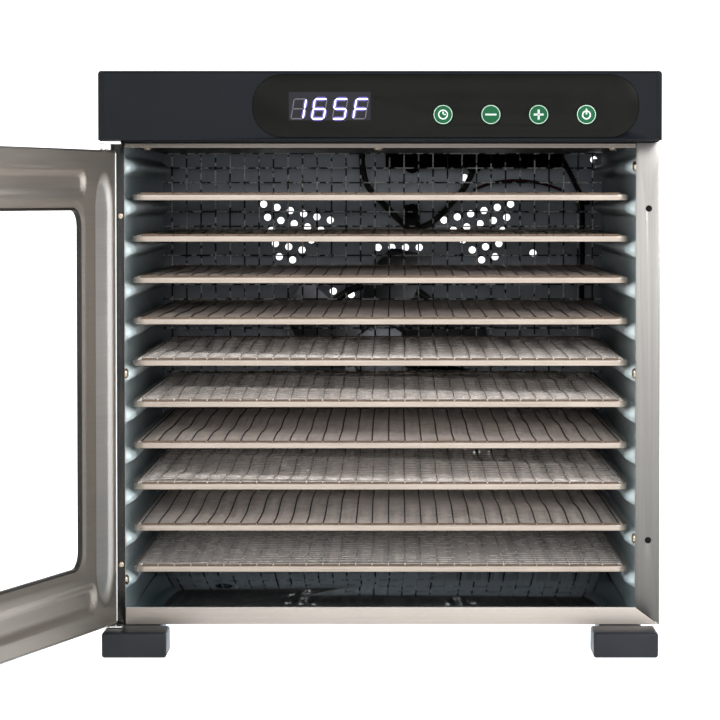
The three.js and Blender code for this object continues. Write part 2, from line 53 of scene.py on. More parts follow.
MM = 0.001
left_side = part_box("left_side_panel")
right_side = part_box("right_side_panel")
CABINET = Matrix.Translation(
    ((left_side[0].x + right_side[1].x) / 2, right_side[0].y, 0)) @ Matrix.Scale(MM, 4)
hinge = next(joint for joint in frame["joints"] if joint["name"] == "door_hinge")
OPEN_ANGLE = math.radians(hinge["range_deg"][0])
DOOR = Matrix.Translation((hinge["pos_m"][0], hinge["pos_m"][1], 0)) @ Matrix.Rotation(
    OPEN_ANGLE, 4, "Z") @ Matrix.Scale(MM, 4)


def span(node, place=CABINET):
    """The lowest and highest corners of a CAD node in a working frame."""
    back = place.inverted()
    points = [back @ vertex.co for vertex in frame["nodes"][node].data.vertices]
    return (Vector([min(point[i] for point in points) for i in range(3)]),
            Vector([max(point[i] for point in points) for i in range(3)]))


def middle(low, high):
    return (low + high) / 2


TRAYS = 10
CEILING_FOLD = 1.8
rack_low, rack_high = span("right_rack_wall")
rear_low, rear_high = span("rear_panel")
LEVELS = [middle(*span(f"tray_{number}_rim")).z for number in range(1, TRAYS + 1)]
PITCH = LEVELS[0] - LEVELS[1]
CEILING = span("ceiling_panel")[1].z - CEILING_FOLD


# Mesh helpers

def shaded(mesh, smooth):
    mesh.shade_smooth()
    mesh.set_sharp_from_angle(angle=math.radians(smooth))


def link_piece(name, bm, finish, body, replaces=(), place=CABINET, smooth=35):
    """Makes bm the named piece of a body; a plain mesh is taken as it is."""
    if isinstance(bm, bpy.types.Mesh):
        mesh = bm
        mesh.materials.clear()
    else:
        bm.transform(place)
        mesh = bpy.data.meshes.new(name)
        bm.to_mesh(mesh)
        bm.free()
    mesh.name = name
    piece = bpy.data.objects.new(name, mesh)
    bpy.context.scene.collection.objects.link(piece)
    for layer in finish if isinstance(finish, tuple) else (finish,):
        mesh.materials.append(layer)
    shaded(mesh, smooth)
    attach(piece, body)
    if replaces:
        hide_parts(*replaces)
    return piece


def block(bm, x0, x1, y0, y1, z0, z1):
    """A box; returns its vertices."""
    size = Matrix.Diagonal((x1 - x0, y1 - y0, z1 - z0, 1))
    place = Matrix.Translation(((x0 + x1) / 2, (y0 + y1) / 2, (z0 + z1) / 2))
    return bmesh.ops.create_cube(bm, size=1, matrix=place @ size)["verts"]


def edges_of(verts):
    return list({edge for vert in verts for edge in vert.link_edges})


def sharp_edges(bm, angle=30):
    limit = math.radians(angle)
    return [
        edge for edge in bm.edges
        if len(edge.link_faces) == 2 and edge.calc_face_angle(0) > limit
    ]


def round_over(bm, edges, width, segments=3, clamp=True):
    bmesh.ops.bevel(
        bm, geom=edges, offset=width, offset_type="OFFSET", segments=segments,
        profile=0.5, affect="EDGES", clamp_overlap=clamp, material=-1,
    )


def merged(node):
    """A merged copy of a CAD node in the cabinet's millimetres."""
    bm = bmesh.new()
    bm.from_mesh(frame["nodes"][node].data)
    bm.transform(CABINET.inverted())
    bmesh.ops.remove_doubles(bm, verts=bm.verts, dist=0.001)
    bmesh.ops.dissolve_limit(
        bm, angle_limit=math.radians(0.5), verts=bm.verts, edges=bm.edges,
        use_dissolve_boundaries=False,
    )
    return bm


def softened(node, width, segments=2):
    """A merged copy of a CAD node with its edges broken."""
    bm = merged(node)
    round_over(bm, sharp_edges(bm), width, segments)
    return bm


def refinish(node, finish):
    """A CAD node that stays as it is, in a finish of its own."""
    materials = frame["nodes"][node].data.materials
    materials.clear()
    materials.append(finish)


def outer_edges(bm, low, high):
    """Edges where two of the outer faces of a box meet."""
    def planes(vert):
        return {(i, way) for i in range(3) for way, limit in ((0, low[i]), (1, high[i]))
                if abs(vert.co[i] - limit) < 0.05}

    return [edge for edge in bm.edges if len(planes(edge.verts[0]) & planes(edge.verts[1])) > 1]


def lathe(bm, profile, place, steps=32, closed=False):
    """Spins radius and height pairs about the place's Z axis; a closed profile makes a ring."""
    verts = [bm.verts.new((radius, 0, height)) for radius, height in profile]
    edges = [bm.edges.new(pair) for pair in zip(verts, verts[1:])]
    if closed:
        edges.append(bm.edges.new((verts[-1], verts[0])))
    bmesh.ops.spin(
        bm, geom=verts + edges, cent=(0, 0, 0), axis=(0, 0, 1), angle=2 * math.pi,
        steps=steps, use_merge=True, use_duplicate=False,
    )
    new = [vert for vert in bm.verts if vert.is_valid and not vert.tag]
    bmesh.ops.remove_doubles(bm, verts=new, dist=1e-4)
    new = [vert for vert in bm.verts if vert.is_valid and not vert.tag]
    bmesh.ops.recalc_face_normals(bm, faces=list({f for v in new for f in v.link_faces}))
    bmesh.ops.transform(bm, matrix=place, verts=new)
    for vert in new:
        vert.tag = True
    return new


def towards(axis, place):
    """A frame at a place with its Z along an axis."""
    turn = Vector((0, 0, 1)).rotation_difference(Vector(axis)).to_matrix().to_4x4()
    return Matrix.Translation(place) @ turn


def pan_head(bm, place, axis, radius=4.2, height=2.4):
    """A round screw head with a cross recess."""
    lathe(bm, [
        (0, height), (0.3 * radius, 0.99 * height), (0.62 * radius, 0.9 * height),
        (0.86 * radius, 0.66 * height), (0.98 * radius, 0.3 * height), (radius, 0), (0, 0),
    ], towards(axis, place), 20)
    for turn in (0, math.pi / 2):
        verts = block(
            bm, -0.5 * radius, 0.5 * radius, -0.09 * radius, 0.09 * radius,
            0.8 * height, 1.02 * height)
        bmesh.ops.transform(
            bm, matrix=towards(axis, place) @ Matrix.Rotation(turn, 4, "Z"), verts=verts)
        for vert in verts:
            vert.tag = True


def rounded_face(bm, x0, x1, y0, y1, z, radius, segments=6):
    """A flat face with round corners."""
    place = Matrix.Translation(((x0 + x1) / 2, (y0 + y1) / 2, z))
    size = Matrix.Diagonal((x1 - x0, y1 - y0, 1, 1))
    verts = bmesh.ops.create_grid(
        bm, x_segments=1, y_segments=1, size=0.5, matrix=place @ size)["verts"]
    made = bmesh.ops.bevel(
        bm, geom=verts, offset=radius, offset_type="OFFSET", segments=segments, profile=0.5,
        affect="VERTICES", clamp_overlap=True, material=-1,
    )
    return max({face for vert in made["verts"] for face in vert.link_faces},
               key=lambda face: face.calc_area())


def wires(name, routes, radius, finish, body, replaces=(), place=CABINET, sides=6):
    """Round wires along routes in a working frame's millimetres, as one mesh piece."""
    curve = bpy.data.curves.new(name, "CURVE")
    curve.dimensions = "3D"
    curve.bevel_depth = radius * MM
    curve.bevel_resolution = sides // 2 - 2
    curve.use_fill_caps = True
    for route in routes:
        spline = curve.splines.new("POLY")
        spline.points.add(len(route) - 1)
        for point, spot in zip(spline.points, route):
            point.co = (*(place @ Vector(spot)), 1)
    holder = bpy.data.objects.new(name + "_curve", curve)
    bpy.context.scene.collection.objects.link(holder)
    graph = bpy.context.evaluated_depsgraph_get()
    mesh = bpy.data.meshes.new_from_object(holder.evaluated_get(graph))
    bpy.data.objects.remove(holder)
    bpy.data.curves.remove(curve)
    return link_piece(name, mesh, finish, body, replaces, smooth=60)


def smooth_route(points, steps=6):
    """A smooth line through given points (Catmull-Rom)."""
    points = [Vector(point) for point in points]
    ends = [2 * points[0] - points[1], *points, 2 * points[-1] - points[-2]]
    route = []
    for a, b, c, d in zip(ends, ends[1:], ends[2:], ends[3:]):
        for i in range(steps):
            t = i / steps
            route.append(0.5 * (
                2 * b + (c - a) * t + (2 * a - 5 * b + 4 * c - d) * t ** 2
                + (3 * b - a - 3 * c + d) * t ** 3))
    return [*route, points[-1]]


def eased(value):
    """0 to 1 with a soft start and end."""
    value = min(max(value, 0.0), 1.0)
    return value * value * (3 - 2 * value)


# Material helpers

class Surface:
    """A node material built step by step on a Principled shader."""

    def __init__(self, name, turn=0.0):
        self.material = bpy.data.materials.new(name)
        self.material.use_nodes = True
        self.tree = self.material.node_tree
        self.shader = self.tree.nodes["Principled BSDF"]
        self.place = self.tree.nodes.new("ShaderNodeTexCoord").outputs["Object"]
        if turn:
            node = self.tree.nodes.new("ShaderNodeMapping")
            node.vector_type = "TEXTURE"
            node.inputs["Rotation"].default_value = (0, 0, turn)
            self.tree.links.new(self.place, node.inputs["Vector"])
            self.place = node.outputs["Vector"]

    def set(self, **values):
        for name, value in values.items():
            self.shader.inputs[name.replace("_", " ")].default_value = value
        return self

    def link(self, output, name):
        self.tree.links.new(output, self.shader.inputs[name])
        return self

    def stretched(self, scale):
        node = self.tree.nodes.new("ShaderNodeMapping")
        node.inputs["Scale"].default_value = scale
        self.tree.links.new(self.place, node.inputs["Vector"])
        return node.outputs["Vector"]

    def noise(self, scale, detail=3, place=None, rough=0.55):
        node = self.tree.nodes.new("ShaderNodeTexNoise")
        node.inputs["Scale"].default_value = scale
        node.inputs["Detail"].default_value = detail
        node.inputs["Roughness"].default_value = rough
        self.tree.links.new(self.place if place is None else place, node.inputs["Vector"])
        return node.outputs["Fac"]

    def ramp(self, value, low, high, start=0.3, end=0.7):
        """Colours or levels from low to high as value goes from start to end."""
        node = self.tree.nodes.new("ShaderNodeValToRGB")
        for element, place, colour in zip(node.color_ramp.elements, (start, end), (low, high)):
            element.position = place
            colour = (colour,) * 3 if isinstance(colour, (int, float)) else colour
            element.color = (*colour, 1)
        self.tree.links.new(value, node.inputs["Fac"])
        return node.outputs["Color"]

    def mixed(self, first, second, amount=0.5, blend="MIX"):
        node = self.tree.nodes.new("ShaderNodeMix")
        node.data_type = "RGBA"
        node.blend_type = blend
        if isinstance(amount, bpy.types.NodeSocket):
            self.tree.links.new(amount, node.inputs["Factor"])
        else:
            node.inputs["Factor"].default_value = amount
        self.tree.links.new(first, node.inputs[6])
        self.tree.links.new(second, node.inputs[7])
        return node.outputs[2]

    def painted_light_and_shade(self, colour, low, high, share):
        """Painted shade and light by height: the colour, down to a share of itself from one height
        to another in metres; a share above 1 brightens it.
        """
        parts = self.tree.nodes.new("ShaderNodeSeparateXYZ")
        self.tree.links.new(self.place, parts.inputs["Vector"])
        node = self.tree.nodes.new("ShaderNodeMapRange")
        node.inputs["From Min"].default_value = low
        node.inputs["From Max"].default_value = high
        node.inputs["To Min"].default_value = share
        self.tree.links.new(parts.outputs["Z"], node.inputs["Value"])
        return self.mixed(colour, node.outputs["Result"], 1.0, "MULTIPLY")

    def bump(self, height, strength, distance):
        node = self.tree.nodes.new("ShaderNodeBump")
        node.inputs["Strength"].default_value = strength
        node.inputs["Distance"].default_value = distance
        self.tree.links.new(height, node.inputs["Height"])
        return self.link(node.outputs["Normal"], "Normal")


def brushed_steel(name, dark, light, grain, roughness, bump=0.1, cloud=9, turn=0.0, metal=1.0,
                  shade=None):
    """Steel with fine scratches; grain is the scratches' frequency along each axis; shade paints
    shade and light by height.
    """
    surface = Surface(name, turn).set(Metallic=metal)
    scratch = surface.noise(1, 4, surface.stretched(grain), 0.7)
    patch = surface.noise(cloud, 3)
    colour = surface.mixed(
        surface.ramp(scratch, dark, light, 0.25, 0.75), surface.ramp(patch, dark, light), 0.35)
    surface.link(surface.painted_light_and_shade(colour, *shade) if shade else colour, "Base Color")
    low, high = roughness
    surface.link(surface.mixed(
        surface.ramp(scratch, low, high, 0.2, 0.8), surface.ramp(patch, low, high), 0.3),
        "Roughness")
    return surface.bump(scratch, bump, 0.05 * MM).material


def pressed_steel(name, flat, channel, roughness, turn):
    """Brushed sheet whose tone goes from flat to channel with the mesh's pressed attribute; the
    channel's lighter tone is painted light, and the sheet darkens towards the bottom as painted
    shade.
    """
    surface = Surface(name, turn).set(Metallic=1.0)
    scratch = surface.noise(1, 4, surface.stretched((10, 800, 800)), 0.7)
    node = surface.tree.nodes.new("ShaderNodeAttribute")
    node.attribute_name = "pressed"
    tone = surface.mixed(
        surface.ramp(scratch, *flat, 0.25, 0.75), surface.ramp(scratch, *channel, 0.25, 0.75),
        node.outputs["Fac"])
    surface.link(surface.painted_light_and_shade(tone, 0.02, 0.28, 0.66), "Base Color")
    surface.link(surface.ramp(scratch, *roughness, 0.2, 0.8), "Roughness")
    return surface.bump(scratch, 0.05, 0.05 * MM).material


def painted_glint_steel():
    """Woven wire with painted highlights: bright dashes between near-black stretches of painted
    shade, placed by noise.
    """
    surface = Surface("guard_wire_steel").set(Metallic=0.35)
    dash = surface.noise(150, 1)
    surface.link(surface.ramp(dash, (0.012, 0.012, 0.012), (0.9, 0.9, 0.9), 0.47, 0.56),
                 "Base Color")
    return surface.link(surface.ramp(dash, 0.4, 0.22), "Roughness").material


def moulded(name, dark, light, roughness, grain=2600, bump=0.12, shine=0.25):
    """Plastic or rubber with a fine moulded grain and slow patches of tone."""
    surface = Surface(name).set(Specular_IOR_Level=shine)
    grains = surface.noise(grain, 2)
    patch = surface.noise(22, 4)
    surface.link(surface.ramp(patch, dark, light), "Base Color")
    low, high = roughness
    surface.link(surface.ramp(patch, low, high, 0.35, 0.65), "Roughness")
    return surface.bump(grains, bump, 0.04 * MM).material


def glowing(name, colour, strength):
    """A lit part of the display, or an unlit one whose faint glow is painted light."""
    surface = Surface(name).set(Roughness=0.4, Emission_Strength=strength)
    tone = surface.ramp(surface.noise(500, 1), [0.92 * part for part in colour], colour)
    return surface.link(tone, "Emission Color").link(tone, "Base Color").material


def clear_glass():
    surface = Surface("door_glass").set(
        Transmission_Weight=1.0, IOR=1.1, Specular_IOR_Level=0.2)
    surface.link(surface.ramp(surface.noise(6), 0.985, 1.0), "Base Color")
    surface.link(surface.ramp(surface.noise(14), 0.0, 0.012), "Roughness")
    return surface.material


# Painted shade: below 30 cm the jamb steel darkens towards the bottom, to 40% of its colour
JAMB_STEEL = brushed_steel(
    "brushed_jamb_steel", (0.2, 0.194, 0.184), (0.26, 0.253, 0.24), (1500, 1500, 9),
    (0.3, 0.42), cloud=5, shade=(0.03, 0.3, 0.4))
# Painted shade and painted reflection: near-black steel for the hinge-side jamb's front beside the
# open door
HINGE_JAMB_PAINTED_SHADE = brushed_steel(
    "hinge_side_jamb_painted_shade", (0.011, 0.012, 0.013), (0.034, 0.032, 0.03), (300, 300, 30),
    (0.2, 0.34), cloud=40)
LIP_STEEL = brushed_steel(
    "brushed_lip_steel", (0.25, 0.225, 0.2), (0.31, 0.285, 0.257), (8, 1400, 1400),
    (0.34, 0.46), 0.05, metal=0.5)
FLOOR_STEEL = brushed_steel(
    "polished_floor_steel", (0.6, 0.7, 0.76), (0.7, 0.79, 0.85), (8, 1400, 1400),
    (0.04, 0.09), 0.02)
CEILING_STEEL = brushed_steel(
    "ceiling_steel", (0.085, 0.075, 0.066), (0.125, 0.112, 0.1), (12, 1400, 1400), (0.26, 0.38))
# Painted light: below 20 cm the rear steel brightens towards the bottom, to 2.2 times its colour
REAR_STEEL = brushed_steel(
    "rear_compartment_steel", (0.21, 0.232, 0.258), (0.3, 0.326, 0.352), (900, 900, 16),
    (0.34, 0.48), 0.06, 7, shade=(0.03, 0.2, 2.2))
RACK_STEEL = brushed_steel(
    "rack_wall_steel", (0.4, 0.49, 0.51), (0.52, 0.61, 0.63), (900, 18, 900),
    (0.26, 0.36), 0.02, 14, metal=0.6)
# Painted shade: the rack wall's flats, darker than its beads
RACK_FLAT_SHADE = brushed_steel(
    "rack_flat_painted_shade", (0.3, 0.38, 0.4), (0.42, 0.5, 0.52), (900, 18, 900), (0.3, 0.4), 0.02, 14,
    metal=0.6)
# Painted highlight: a lighter, less metallic steel for the rack wall's front margin and the leaf's
# hinge edge
MARGIN_HIGHLIGHT_STEEL = brushed_steel(
    "rack_margin_painted_highlight", (0.46, 0.48, 0.48), (0.6, 0.62, 0.62), (900, 900, 18), (0.3, 0.4),
    metal=0.4)
WIRE_STEEL = brushed_steel(
    "woven_tray_wire", (0.58, 0.53, 0.5), (0.9, 0.84, 0.8), (110, 110, 110), (0.26, 0.4),
    cloud=30)
# Painted shade: near-black steel for the stout tray ribs
RIB_PAINTED_SHADE = brushed_steel(
    "tray_rib_painted_shade", (0.02, 0.018, 0.016), (0.08, 0.072, 0.065), (110, 110, 110), (0.3, 0.45))
# Painted light: lighter wires for trays 5 and 6
WIRE_PAINTED_LIGHT = brushed_steel(
    "tray_wire_painted_light", (0.62, 0.575, 0.54), (0.92, 0.86, 0.82), (110, 110, 110), (0.26, 0.4),
    cloud=30, metal=0.85)
# Painted shade: darker wires for tray 10
WIRE_PAINTED_SHADE = brushed_steel(
    "tray_wire_painted_shade", (0.3, 0.275, 0.258), (0.52, 0.485, 0.46), (110, 110, 110), (0.26, 0.4),
    cloud=30)
LIGHT_RIB = brushed_steel(
    "light_tray_rib", (0.6, 0.57, 0.54), (0.85, 0.82, 0.8), (110, 110, 110), (0.2, 0.34),
    metal=0.5)
EDGE_STEEL = brushed_steel(
    "folded_mesh_edge", (0.05, 0.034, 0.024), (0.13, 0.092, 0.066), (60, 500, 900), (0.28, 0.4))
RIM_STEEL = brushed_steel(
    "tray_rim_steel", (0.21, 0.178, 0.15), (0.34, 0.295, 0.252), (14, 500, 900), (0.24, 0.36),
    0.04, 25, metal=0.6)
GUARD_STEEL = painted_glint_steel()
# The liner's channel tone is the lighter one, as painted light
DOOR_STEEL = pressed_steel(
    "door_liner_steel", ((0.35, 0.32, 0.287), (0.43, 0.395, 0.355)),
    ((0.6, 0.6, 0.588), (0.7, 0.7, 0.69)), (0.42, 0.52), OPEN_ANGLE)
SKIN_STEEL = brushed_steel(
    "door_skin_steel", (0.34, 0.335, 0.325), (0.44, 0.435, 0.425), (1400, 1400, 12), (0.26, 0.38),
    turn=OPEN_ANGLE)
BRIGHT_STEEL = brushed_steel(
    "plated_steel", (0.72, 0.7, 0.68), (0.84, 0.83, 0.81), (300, 300, 300), (0.1, 0.2), 0.03)
SCREW_BRASS = brushed_steel(
    "yellow_plated_screw", (0.24, 0.19, 0.14), (0.42, 0.36, 0.28), (300, 300, 300), (0.18, 0.3))
FAN_METAL = brushed_steel(
    "fan_aluminium", (0.34, 0.35, 0.38), (0.56, 0.57, 0.62), (200, 200, 200), (0.3, 0.42), 0.05)
HEATER_STEEL = brushed_steel(
    "heater_sheath", (0.09, 0.085, 0.08), (0.18, 0.17, 0.16), (200, 200, 200), (0.4, 0.55))
HEAD_PLASTIC = moulded(
    "head_plastic", (0.0022, 0.0032, 0.0048), (0.0034, 0.0046, 0.0064), (0.36, 0.42), shine=0.09)
FOOT_PLASTIC = moulded(
    "foot_plastic", (0.008, 0.0095, 0.0125), (0.013, 0.015, 0.0185), (0.3, 0.4), shine=0.16)
OVERLAY_GLOSS = moulded(
    "gloss_overlay", (0.0035, 0.0035, 0.003), (0.0048, 0.0048, 0.0042), (0.2, 0.26), 60, 0.005,
    shine=0.05)
DISPLAY_FILTER = moulded(
    "display_filter", (0.011, 0.0105, 0.0135), (0.015, 0.0142, 0.0175), (0.16, 0.2), 60, 0.005,
    shine=0.05)
RUBBER = moulded(
    "black_rubber", (0.002, 0.002, 0.002), (0.004, 0.004, 0.0038), (0.5, 0.65), shine=0.06)
GASKET = moulded("window_gasket", (0.007, 0.0065, 0.005), (0.013, 0.0115, 0.009), (0.42, 0.55))
TERMINAL = moulded("terminal_plastic", (0.003, 0.003, 0.004), (0.006, 0.006, 0.007), (0.4, 0.5))
CABLE = moulded("olive_cable", (0.03, 0.033, 0.022), (0.055, 0.058, 0.042), (0.38, 0.5), 900)
RED_WIRE = moulded("dark_red_wire", (0.06, 0.006, 0.006), (0.1, 0.011, 0.01), (0.4, 0.5), 900)
BOARD = moulded("circuit_board", (0.008, 0.05, 0.025), (0.012, 0.075, 0.04), (0.35, 0.5), 900)
KEY_GREEN = moulded(
    "green_key", (0.0015, 0.045, 0.016), (0.003, 0.062, 0.023), (0.34, 0.44), shine=0.12)
KEY_WHITE = moulded("white_print", (0.36, 0.43, 0.38), (0.48, 0.55, 0.5), (0.4, 0.5))
LIT = glowing("lit_segment", (0.72, 0.74, 1.0), 0.95)
HALO = glowing("segment_glow", (0.05, 0.038, 0.2), 0.45)
# Painted light: the unlit segments glow faintly
UNLIT = glowing("unlit_segment", (0.04, 0.037, 0.048), 0.5)
GLASS = clear_glass()


# Camera

CAMERA_PLACE = (11, -2350, 336)
CAMERA_TILT = 88


def camera():
    """A long lens in front of the cabinet, a little above its middle."""
    data = bpy.data.cameras.new("front_camera")
    data.lens = 158.2
    data.sensor_width = 36
    data.shift_x = -0.0486
    data.shift_y = -0.070
    data.clip_start = 0.1
    data.clip_end = 60
    view = bpy.data.objects.new("front_camera", data)
    view.location = CABINET @ Vector(CAMERA_PLACE)
    view.rotation_euler = (math.radians(CAMERA_TILT), 0, 0)
    bpy.context.scene.collection.objects.link(view)
    bpy.context.scene.camera = view


# Cabinet sheets

def front_faces(bm, deepest):
    """Faces that look forwards, no further back than a depth."""
    bm.normal_update()
    return [
        face for face in bm.faces
        if face.normal.y < -0.4 and face.calc_center_median().y < deepest]


FOLD_DEPTH = 0.5


def cabinet_sheets():
    """Folded sides, base and ceiling; the fronts of the sides and base have a finish of their own,
    the left one near-black as painted shade and painted reflection.
    """
    for side, finish in (("left", HINGE_JAMB_PAINTED_SHADE), ("right", JAMB_STEEL)):
        node = f"{side}_side_panel"
        bm = softened(node, 0.4)
        for face in front_faces(bm, FOLD_DEPTH):
            face.material_index = 1
        link_piece(f"{side}_folded_side", bm, (JAMB_STEEL, finish), "cabinet",
                   [node])
    bm = softened("base_panel", 0.35)
    for face in front_faces(bm, FOLD_DEPTH):
        face.material_index = 1
    link_piece("base_tray_sheet", bm, (FLOOR_STEEL, LIP_STEEL), "cabinet",
               ["base_panel"])
    link_piece("ceiling_sheet", softened("ceiling_panel", 0.35), CEILING_STEEL, "cabinet",
               ["ceiling_panel"])
    bm = bmesh.new()
    half = rack_low.x + BEAD_REACH - 0.6
    verts = block(bm, -half, half, 0.1, 1.3, CEILING - 2, CEILING + 1.6)
    round_over(bm, edges_of(verts), 0.4, 3)
    link_piece("ceiling_front_hem", bm, CEILING_STEEL, "cabinet")


# A bead's reach into the cavity, half its height, its drop below its tray, and the flat before its
# ends and their length; then the wall's sheet and its front margin, whose brightness is a painted
# highlight

BEAD_REACH = 8
BEAD_HALF = 6.5
BEAD_DROP = 8
BEAD_START = 4
BEAD_RISE = 11
RACK_SHEET = 0.8
MARGIN_WIDTH = 4


def bead_height(along, up):
    """How far the pressed wall stands in at a place: one bead below each tray, and a top one."""
    steps = (up - (LEVELS[-1] - BEAD_DROP)) / PITCH
    nearest = min(max(round(steps), 0), TRAYS)
    off = abs(steps - nearest) * PITCH / BEAD_HALF
    if off >= 1:
        return 0.0
    ends = min(along - rack_low.y - BEAD_START, rack_high.y - BEAD_START - along) / BEAD_RISE
    return BEAD_REACH * math.cos(math.pi / 2 * off) ** 0.8 * math.sin(
        math.pi / 2 * min(max(ends, 0), 1)) ** 0.6


def rack_walls():
    """Pressed walls with a tone for their beads, a painted highlight on their front margin and
    painted shade on their flats.
    """
    face = rack_high.x - RACK_SHEET
    for side, name in ((-1, "left"), (1, "right")):
        bm = bmesh.new()
        bmesh.ops.create_grid(bm, x_segments=90, y_segments=320, size=0.5)
        for vert in bm.verts:
            share = 0.5 - 0.5 * math.cos(math.pi * (vert.co.x + 0.5))
            along = rack_low.y + (rack_high.y - rack_low.y) * share
            up = rack_low.z + (rack_high.z - rack_low.z) * (vert.co.y + 0.5)
            vert.co = (side * (face - bead_height(along, up)), along, up)
        bm.normal_update()
        for sheet_face in bm.faces:
            if sheet_face.normal.x * side > 0:
                sheet_face.normal_flip()
            spot = sheet_face.calc_center_median()
            # The front margin takes the painted highlight, the flats between the beads the painted
            # shade
            if spot.y < rack_low.y + MARGIN_WIDTH:
                sheet_face.material_index = 1
            elif face - abs(spot.x) < 0.4:
                sheet_face.material_index = 2
        bm.normal_update()
        bmesh.ops.solidify(bm, geom=bm.faces, thickness=RACK_SHEET)
        bmesh.ops.recalc_face_normals(bm, faces=bm.faces)
        link_piece(f"{name}_pressed_wall", bm, (RACK_STEEL, MARGIN_HIGHLIGHT_STEEL, RACK_FLAT_SHADE), "cabinet",
                   [f"{name}_rack_wall"], smooth=60)


CEILING_SCREWS = (-174, -1.6, 173.6)
RACK_SCREWS = ((-1, 5), (-1, 0), (1, 10), (1, 5), (1, 1))
SIDE_SCREWS = (60, 235, 410)
REAR_SCREWS = (-190, 0, 190)
JAMB_RIVET = -193.2


def cabinet_screws():
    """Ceiling, rack wall and jamb fasteners, then those of the outer sheets."""
    bm = bmesh.new()
    for x in CEILING_SCREWS:
        pan_head(bm, (x, 14, CEILING), (0, 0, -1), 4.5, 3.2)
    face = rack_high.x - RACK_SHEET
    for side, bead in RACK_SCREWS:
        level = LEVELS[-1] - BEAD_DROP + bead * PITCH
        pan_head(bm, (side * face, rack_low.y + 5.5, level), (-side, 0, 0), 4.2, 2.6)
    for level in (LEVELS[0] - 14, LEVELS[-1] + 4):
        pan_head(bm, (JAMB_RIVET, 0, level), (0, -1, 0), 2.6, 1.2)
    link_piece("cavity_screws", bm, SCREW_BRASS, "cabinet")

    bm = bmesh.new()
    for x in REAR_SCREWS:
        for level in (rear_low.z + 9, rear_high.z - 9):
            pan_head(bm, (x, rear_high.y, level), (0, 1, 0), 3.6, 2)
    for x in (REAR_SCREWS[0], REAR_SCREWS[-1]):
        pan_head(bm, (x, rear_high.y, (rear_low.z + rear_high.z) / 2), (0, 1, 0), 3.6, 2)
    outside = span("right_side_panel")[1].x
    for side in (-1, 1):
        for along in SIDE_SCREWS:
            pan_head(bm, (side * outside, along, rear_low.z + 12), (side, 0, 0), 3.6, 2)
    link_piece("sheet_screws", bm, BRIGHT_STEEL, "cabinet")


# Rear panel with its triangles of vent holes

VENT_PITCH = 12.2
VENT_RADIUS = 3.1
GLAND_HOLE = 8.4


def vent_places():
    """Triangles of holes by corner, direction of the long row, and rows; then the single ones."""
    places = []
    triangles = (
        (-106, 331.5, -0.235, 1, 6), (114, 331.5, -0.235, -1, 6), (-4, 293, 0.0, 1, 4),
        (-62, 215, 0.35, 1, 3), (60, 222, 0.35, -1, 3), (-96, 108, 0.2, 1, 4),
        (96, 108, 0.2, -1, 4),
    )
    for x, z, slope, way, rows in triangles:
        along = Vector((way * math.cos(slope), math.sin(slope)))
        for row in range(rows):
            turn = slope - math.pi / 3
            start = Vector((x, z)) + Vector((way * math.cos(turn), math.sin(turn))) * (
                row * VENT_PITCH)
            places += [start + along * VENT_PITCH * i for i in range(rows - row)]
    singles = ((73, 355), (134, 288), (188, 371), (192, 363), (-60, 252), (-44, 254), (-28, 251))
    return places + [Vector(single) for single in singles]


def cut_through(bm, cutter):
    """The solid bm less the solid cutter, as a plain mesh."""
    objects = []
    for solid in (bm, cutter):
        mesh = bpy.data.meshes.new("stock")
        solid.transform(CABINET)
        solid.to_mesh(mesh)
        solid.free()
        objects.append(bpy.data.objects.new("stock", mesh))
        bpy.context.scene.collection.objects.link(objects[-1])
    tool = objects[0].modifiers.new("cut", "BOOLEAN")
    tool.operation = "DIFFERENCE"
    tool.solver = "EXACT"
    tool.object = objects[1]
    graph = bpy.context.evaluated_depsgraph_get()
    result = bpy.data.meshes.new_from_object(objects[0].evaluated_get(graph))
    for stock in objects:
        bpy.data.objects.remove(stock)
    return result


def rear_panel():
    """The rear sheet with its vents and the hole for the cord's gland."""
    bm = bmesh.new()
    block(bm, rear_low.x, rear_high.x, rear_low.y, rear_high.y, rear_low.z, rear_high.z)
    holes = bmesh.new()
    gland = middle(*span("power_inlet_gland"))
    sizes = [(place, VENT_RADIUS) for place in vent_places()] + [
        ((gland.x, gland.z), GLAND_HOLE)]
    for (x, z), radius in sizes:
        bmesh.ops.create_cone(
            holes, cap_ends=True, cap_tris=False, segments=20, radius1=radius, radius2=radius,
            depth=6, matrix=towards((0, 1, 0), (x, middle(rear_low, rear_high).y, z)))
    link_piece("vented_rear_sheet", cut_through(bm, holes), REAR_STEEL, "cabinet",
               ["rear_panel"])


SCREEN_SQUARE = 12.7
SCREEN_WIRE = 0.68


def guard_screen():
    """Half-inch woven screen: each wire passes over and under the ones it crosses."""
    low, high = span("guard_screen")
    columns = round((high.x - low.x) / SCREEN_SQUARE)
    rows = round((high.z - low.z) / SCREEN_SQUARE)
    depth = middle(low, high).y
    weave = 0.5

    def spot(i, j, way):
        return (low.x + (high.x - low.x) * i / columns,
                depth + way * weave * (-1) ** (i + j),
                low.z + (high.z - low.z) * j / rows)

    routes = [[spot(i, j, 1) for j in range(rows + 1)] for i in range(columns + 1)]
    routes += [[spot(i, j, -1) for i in range(columns + 1)] for j in range(rows + 1)]
    wires("woven_guard_screen", routes, SCREEN_WIRE, GUARD_STEEL, "cabinet",
          ["guard_screen"])


# Head with its controls

OVERLAY_FRONT = span("control_overlay")[0].y
HEAD_CORNER = 2.4


def head():
    """The cover with round outer edges, and the flush panel in its front."""
    bm = merged("top_cover")
    round_over(bm, outer_edges(bm, *span("top_cover")), HEAD_CORNER, 5, clamp=False)
    link_piece("head_cover", bm, HEAD_PLASTIC, "cabinet", ["top_cover"])
    link_piece("control_panel", softened("control_overlay", 0.25), OVERLAY_GLOSS, "cabinet",
               ["control_overlay"])


# A digit's bars: place across and up in half widths and heights, and 1 for an upright bar

